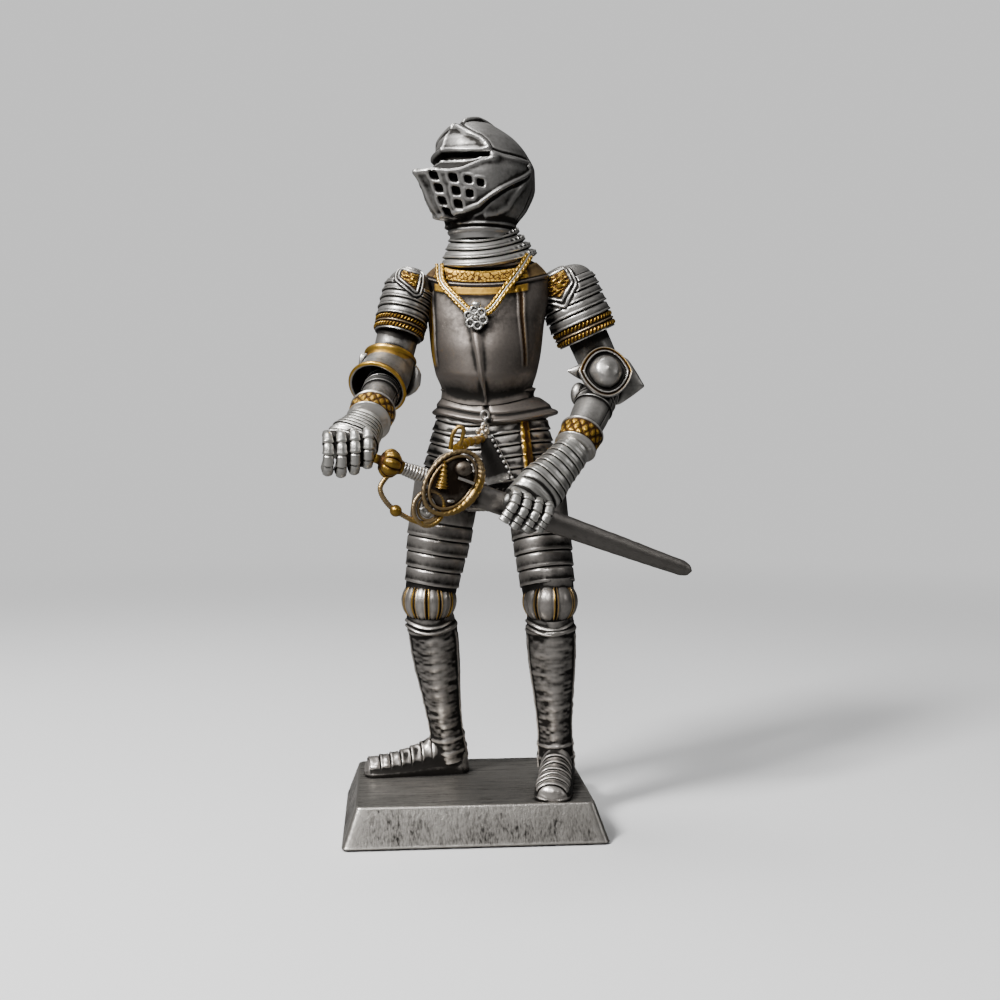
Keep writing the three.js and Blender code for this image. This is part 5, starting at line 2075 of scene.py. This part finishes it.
@dataclass(frozen=True)
class Studio:
    """Pale floor and wall, soft lights, and the camera at the photograph's viewing angle."""

    wall: tuple = (0.84, 0.84, 0.84, 1)
    sky: tuple = (0.82, 0.83, 0.84, 1)
    floor_bounce: tuple = (0.1, 0.1, 0.1, 1)
    floor_tone: tuple = (0.8, 0.8, 0.8, 1)
    floor_fade: tuple[float, float] = (0.12, 0.42)
    lamps: tuple = (
        ("key", (-0.26, -0.2, 0.34), 0.09, 3.8),
        ("front", (-0.06, -0.36, 0.3), 0.1, 0.6),
        ("fill", (0.36, -0.2, 0.2), 0.08, 0.07),
        ("top", (-0.12, 0.1, 0.5), 0.16, 1.2),
    )
    aim: Point = (0, 0, 0.055)
    lens: float = 45.58
    sensor: float = 36
    shift: float = -0.03
    nearest: float = 0.01
    eye: Point = (-0.011779, -0.181336, 0.054558)
    pitch: float = 1.431
    yaw: float = -5.07

    @staticmethod
    def blend(sheet: Nodes, share: object, first: object, second: object, end: object) -> None:
        """Mixes two shaders into the last node.

        Args:
            sheet: the nodes of a material or a world.
            share: 0 for the first shader, 1 for the second.
            first: output of a shader.
            second: output of a shader.
            end: the last node.
        """
        both = sheet.add("ShaderNodeMixShader")
        for number, output in enumerate((share, first, second)):
            sheet.plug(output, both.inputs[number])
        sheet.plug(both.outputs[0], end.inputs["Surface"])

    def floor(self) -> None:
        """The floor, which fades into the wall's tone with its distance."""
        Bench.clear()
        bpy.ops.mesh.primitive_plane_add(size=4, location=(0, 0, -0.0002))
        floor = bpy.context.object
        floor.name = "floor"
        paint = bpy.data.materials.new("Pale studio floor")
        paint.use_nodes = True
        nodes = paint.node_tree.nodes
        shader = nodes["Principled BSDF"]
        sheet = Nodes(paint.node_tree)
        seen = sheet.add("ShaderNodeLightPath").outputs["Is Camera Ray"]
        sheet.plug(sheet.mix(seen, self.floor_bounce, self.floor_tone), shader.inputs["Base Color"])
        shader.inputs["Roughness"].default_value = 0.7
        spread = sheet.add("ShaderNodeVectorMath")
        spread.operation = "LENGTH"
        sheet.plug(sheet.add("ShaderNodeTexCoord").outputs["Object"], spread.inputs[0])
        far = sheet.math("MULTIPLY", sheet.ramp(spread.outputs["Value"], *self.floor_fade), seen)
        haze = sheet.add("ShaderNodeEmission")
        haze.inputs["Color"].default_value = self.wall
        self.blend(sheet, far, shader.outputs[0], haze.outputs[0], nodes["Material Output"])
        floor.data.materials.append(paint)

    def world(self) -> None:
        """Faint light from above and the left; the camera sees the plain wall instead."""
        world = bpy.data.worlds.new("Studio")
        world.use_nodes = True
        nodes = world.node_tree.nodes
        sheet = Nodes(world.node_tree)
        axes = sheet.add("ShaderNodeSeparateXYZ")
        sheet.plug(sheet.add("ShaderNodeTexCoord").outputs["Generated"], axes.inputs[0])
        lift = sheet.math("MULTIPLY", sheet.ramp(axes.outputs["Z"], 0.1, 0.95), 0.24)
        left = sheet.math("MULTIPLY", sheet.ramp(axes.outputs["X"], 0.2, -0.8), 0.08)
        soft = sheet.math("ADD", sheet.math("ADD", lift, left), 0.015)
        paper = nodes["Background"]
        paper.inputs["Color"].default_value = self.sky
        sheet.plug(soft, paper.inputs["Strength"])
        wall = sheet.add("ShaderNodeBackground")
        wall.inputs["Color"].default_value = self.wall
        seen = sheet.add("ShaderNodeLightPath").outputs["Is Camera Ray"]
        self.blend(sheet, seen, paper.outputs[0], wall.outputs[0], nodes["World Output"])
        bpy.context.scene.world = world

    def lamp(self, name: str, place: Point, size: float, power: float) -> None:
        """A rectangular soft light that looks at the chest.

        Args:
            name: its name.
            place: where it stands, in metres.
            size: its width in metres.
            power: its power in watts.
        """
        light = bpy.data.lights.new(name, "AREA")
        light.shape = "RECTANGLE"
        light.size = size
        light.size_y = size * 1.3
        light.energy = power
        thing = bpy.data.objects.new(name, light)
        thing.location = place
        look = Vector(self.aim) - Vector(place)
        thing.rotation_euler = look.to_track_quat("-Z", "Y").to_euler()
        bpy.context.collection.objects.link(thing)

    def camera(self) -> None:
        """The camera, turned down by its pitch and to the side by its yaw."""
        eye = bpy.data.cameras.new("camera")
        eye.lens = self.lens
        eye.shift_y = self.shift
        eye.sensor_width = self.sensor
        eye.clip_start = self.nearest
        camera = bpy.data.objects.new("camera", eye)
        camera.location = self.eye
        camera.rotation_euler = (math.radians(90 - self.pitch), 0, math.radians(self.yaw))
        bpy.context.collection.objects.link(camera)
        bpy.context.scene.camera = camera

    def build(self) -> None:
        """Sets up floor, world, lamps and camera."""
        self.floor()
        self.world()
        for lamp in self.lamps:
            self.lamp(*lamp)
        self.camera()


def main() -> None:
    """Builds the statue piece by piece and reports each one."""
    logging.basicConfig(level=logging.INFO, format="%(message)s")
    Studio().build()
    sword = Sword()
    right_arm = OpenElbow(
        name="right_arm", crown=(-7.6, 3.4, 73.8), shoulder=(-9.0, 3.2, 70.0),
        elbow=(-11.9, 1.2, 58.6), wrist=(-14.6, -11.0, 51.6), wide=3.5, depth=1.25,
        panel=((-0.75, 0.14), (0.2, 0.12), (0.25, 0.46), (-0.55, 0.3)),
        forearm=((0, 2.2, 2.2, 2.2), (0.35, 2.5, 2.4, 2.4), (0.6, 2.4, 2.4, 2.4)),
    )
    left_arm = DomedElbow(
        name="left_arm", crown=(12.8, 3.4, 74.3), shoulder=(14.6, 3.2, 70.6),
        elbow=(20.3, 3.4, 58.2), wrist=(14.2, -5.4, 48.0), wide=4.45, depth=1.0,
        panel=((-1.15, 0.12), (0.1, 0.12), (0.05, 0.38), (-0.45, 0.52), (-1.05, 0.36)),
        forearm=((0, 2.3, 2.3, 2.3), (0.25, 2.7, 2.6, 2.6), (0.5, 2.75, 2.7, 2.7)),
    )
    right_gauntlet = Gauntlet(
        name="right_gauntlet", wrist=right_arm.wrist, knuckles=(-17.2, -15.9, 49.7),
        row=(1, 0.12, 0.1), curl=(0, 0, -1), tips=((0.2, 1), (-1.8, 0.9)),
    )
    left_gauntlet = Gauntlet(
        name="left_gauntlet", wrist=left_arm.wrist, knuckles=(7.4, -10.9, 41.0),
        row=tuple(sword.axes()[0]), curl=(-0.5, -0.1, -0.86), tips=((1.1, 1),),
    )
    right_leg = Leg(
        name="right_leg", hip=(-3.2, 3.0, 43.0), knee=(-6.0, 2.6, 25.8), ankle=(-3.1, 5.8, 4.6),
        thick=4.6, toe=(-15.4, 4.6, 0), heel=(-0.2, 6.2, 0), flutes=12, seam=-0.12,
    )
    left_leg = Leg(
        name="left_leg", hip=(9.5, 2.2, 43.0), knee=(11.2, -1.6, 26.0), ankle=(12.3, 0.2, 4.6),
        thick=4.2, toe=(10.2, -12.0, 0), heel=(13.2, 3.2, 0), flutes=8, seam=0.12,
    )
    figure = (
        (Helmet(), Tone.SMOKED),
        (Gorget(), Tone.BRIGHT),
        (Cuirass(), Tone.DUSKY),
        (Fauld(), Tone.OXIDISED),
        (Collar(), Tone.BRIGHT),
        (Hanger(), Tone.SATIN),
        (right_arm, Tone.SATIN),
        (left_arm, Tone.SATIN),
        (right_gauntlet, Tone.BRIGHT),
        (left_gauntlet, Tone.BRIGHT),
        (right_leg, Tone.OXIDISED),
        (left_leg, Tone.OXIDISED),
    )
    for part, tone in figure:
        Bench.finish(part.build(), "knight_figure", FINISHES[tone], "antique_pewter")
    Bench.finish(sword.blade(), "sword", FINISHES[Tone.STEEL], "sword_metal")
    Bench.finish(Plinth().build(), "plinth", FINISHES[Tone.BRUSHED], "plinth_pewter", 35)
    hilt = Bench.join("hilt", [*sword.handle(), *sword.bars()])
    Bench.finish(hilt, "sword", FINISHES[Tone.TARNISHED], "sword_metal")


if __name__ == "__main__":
    main()
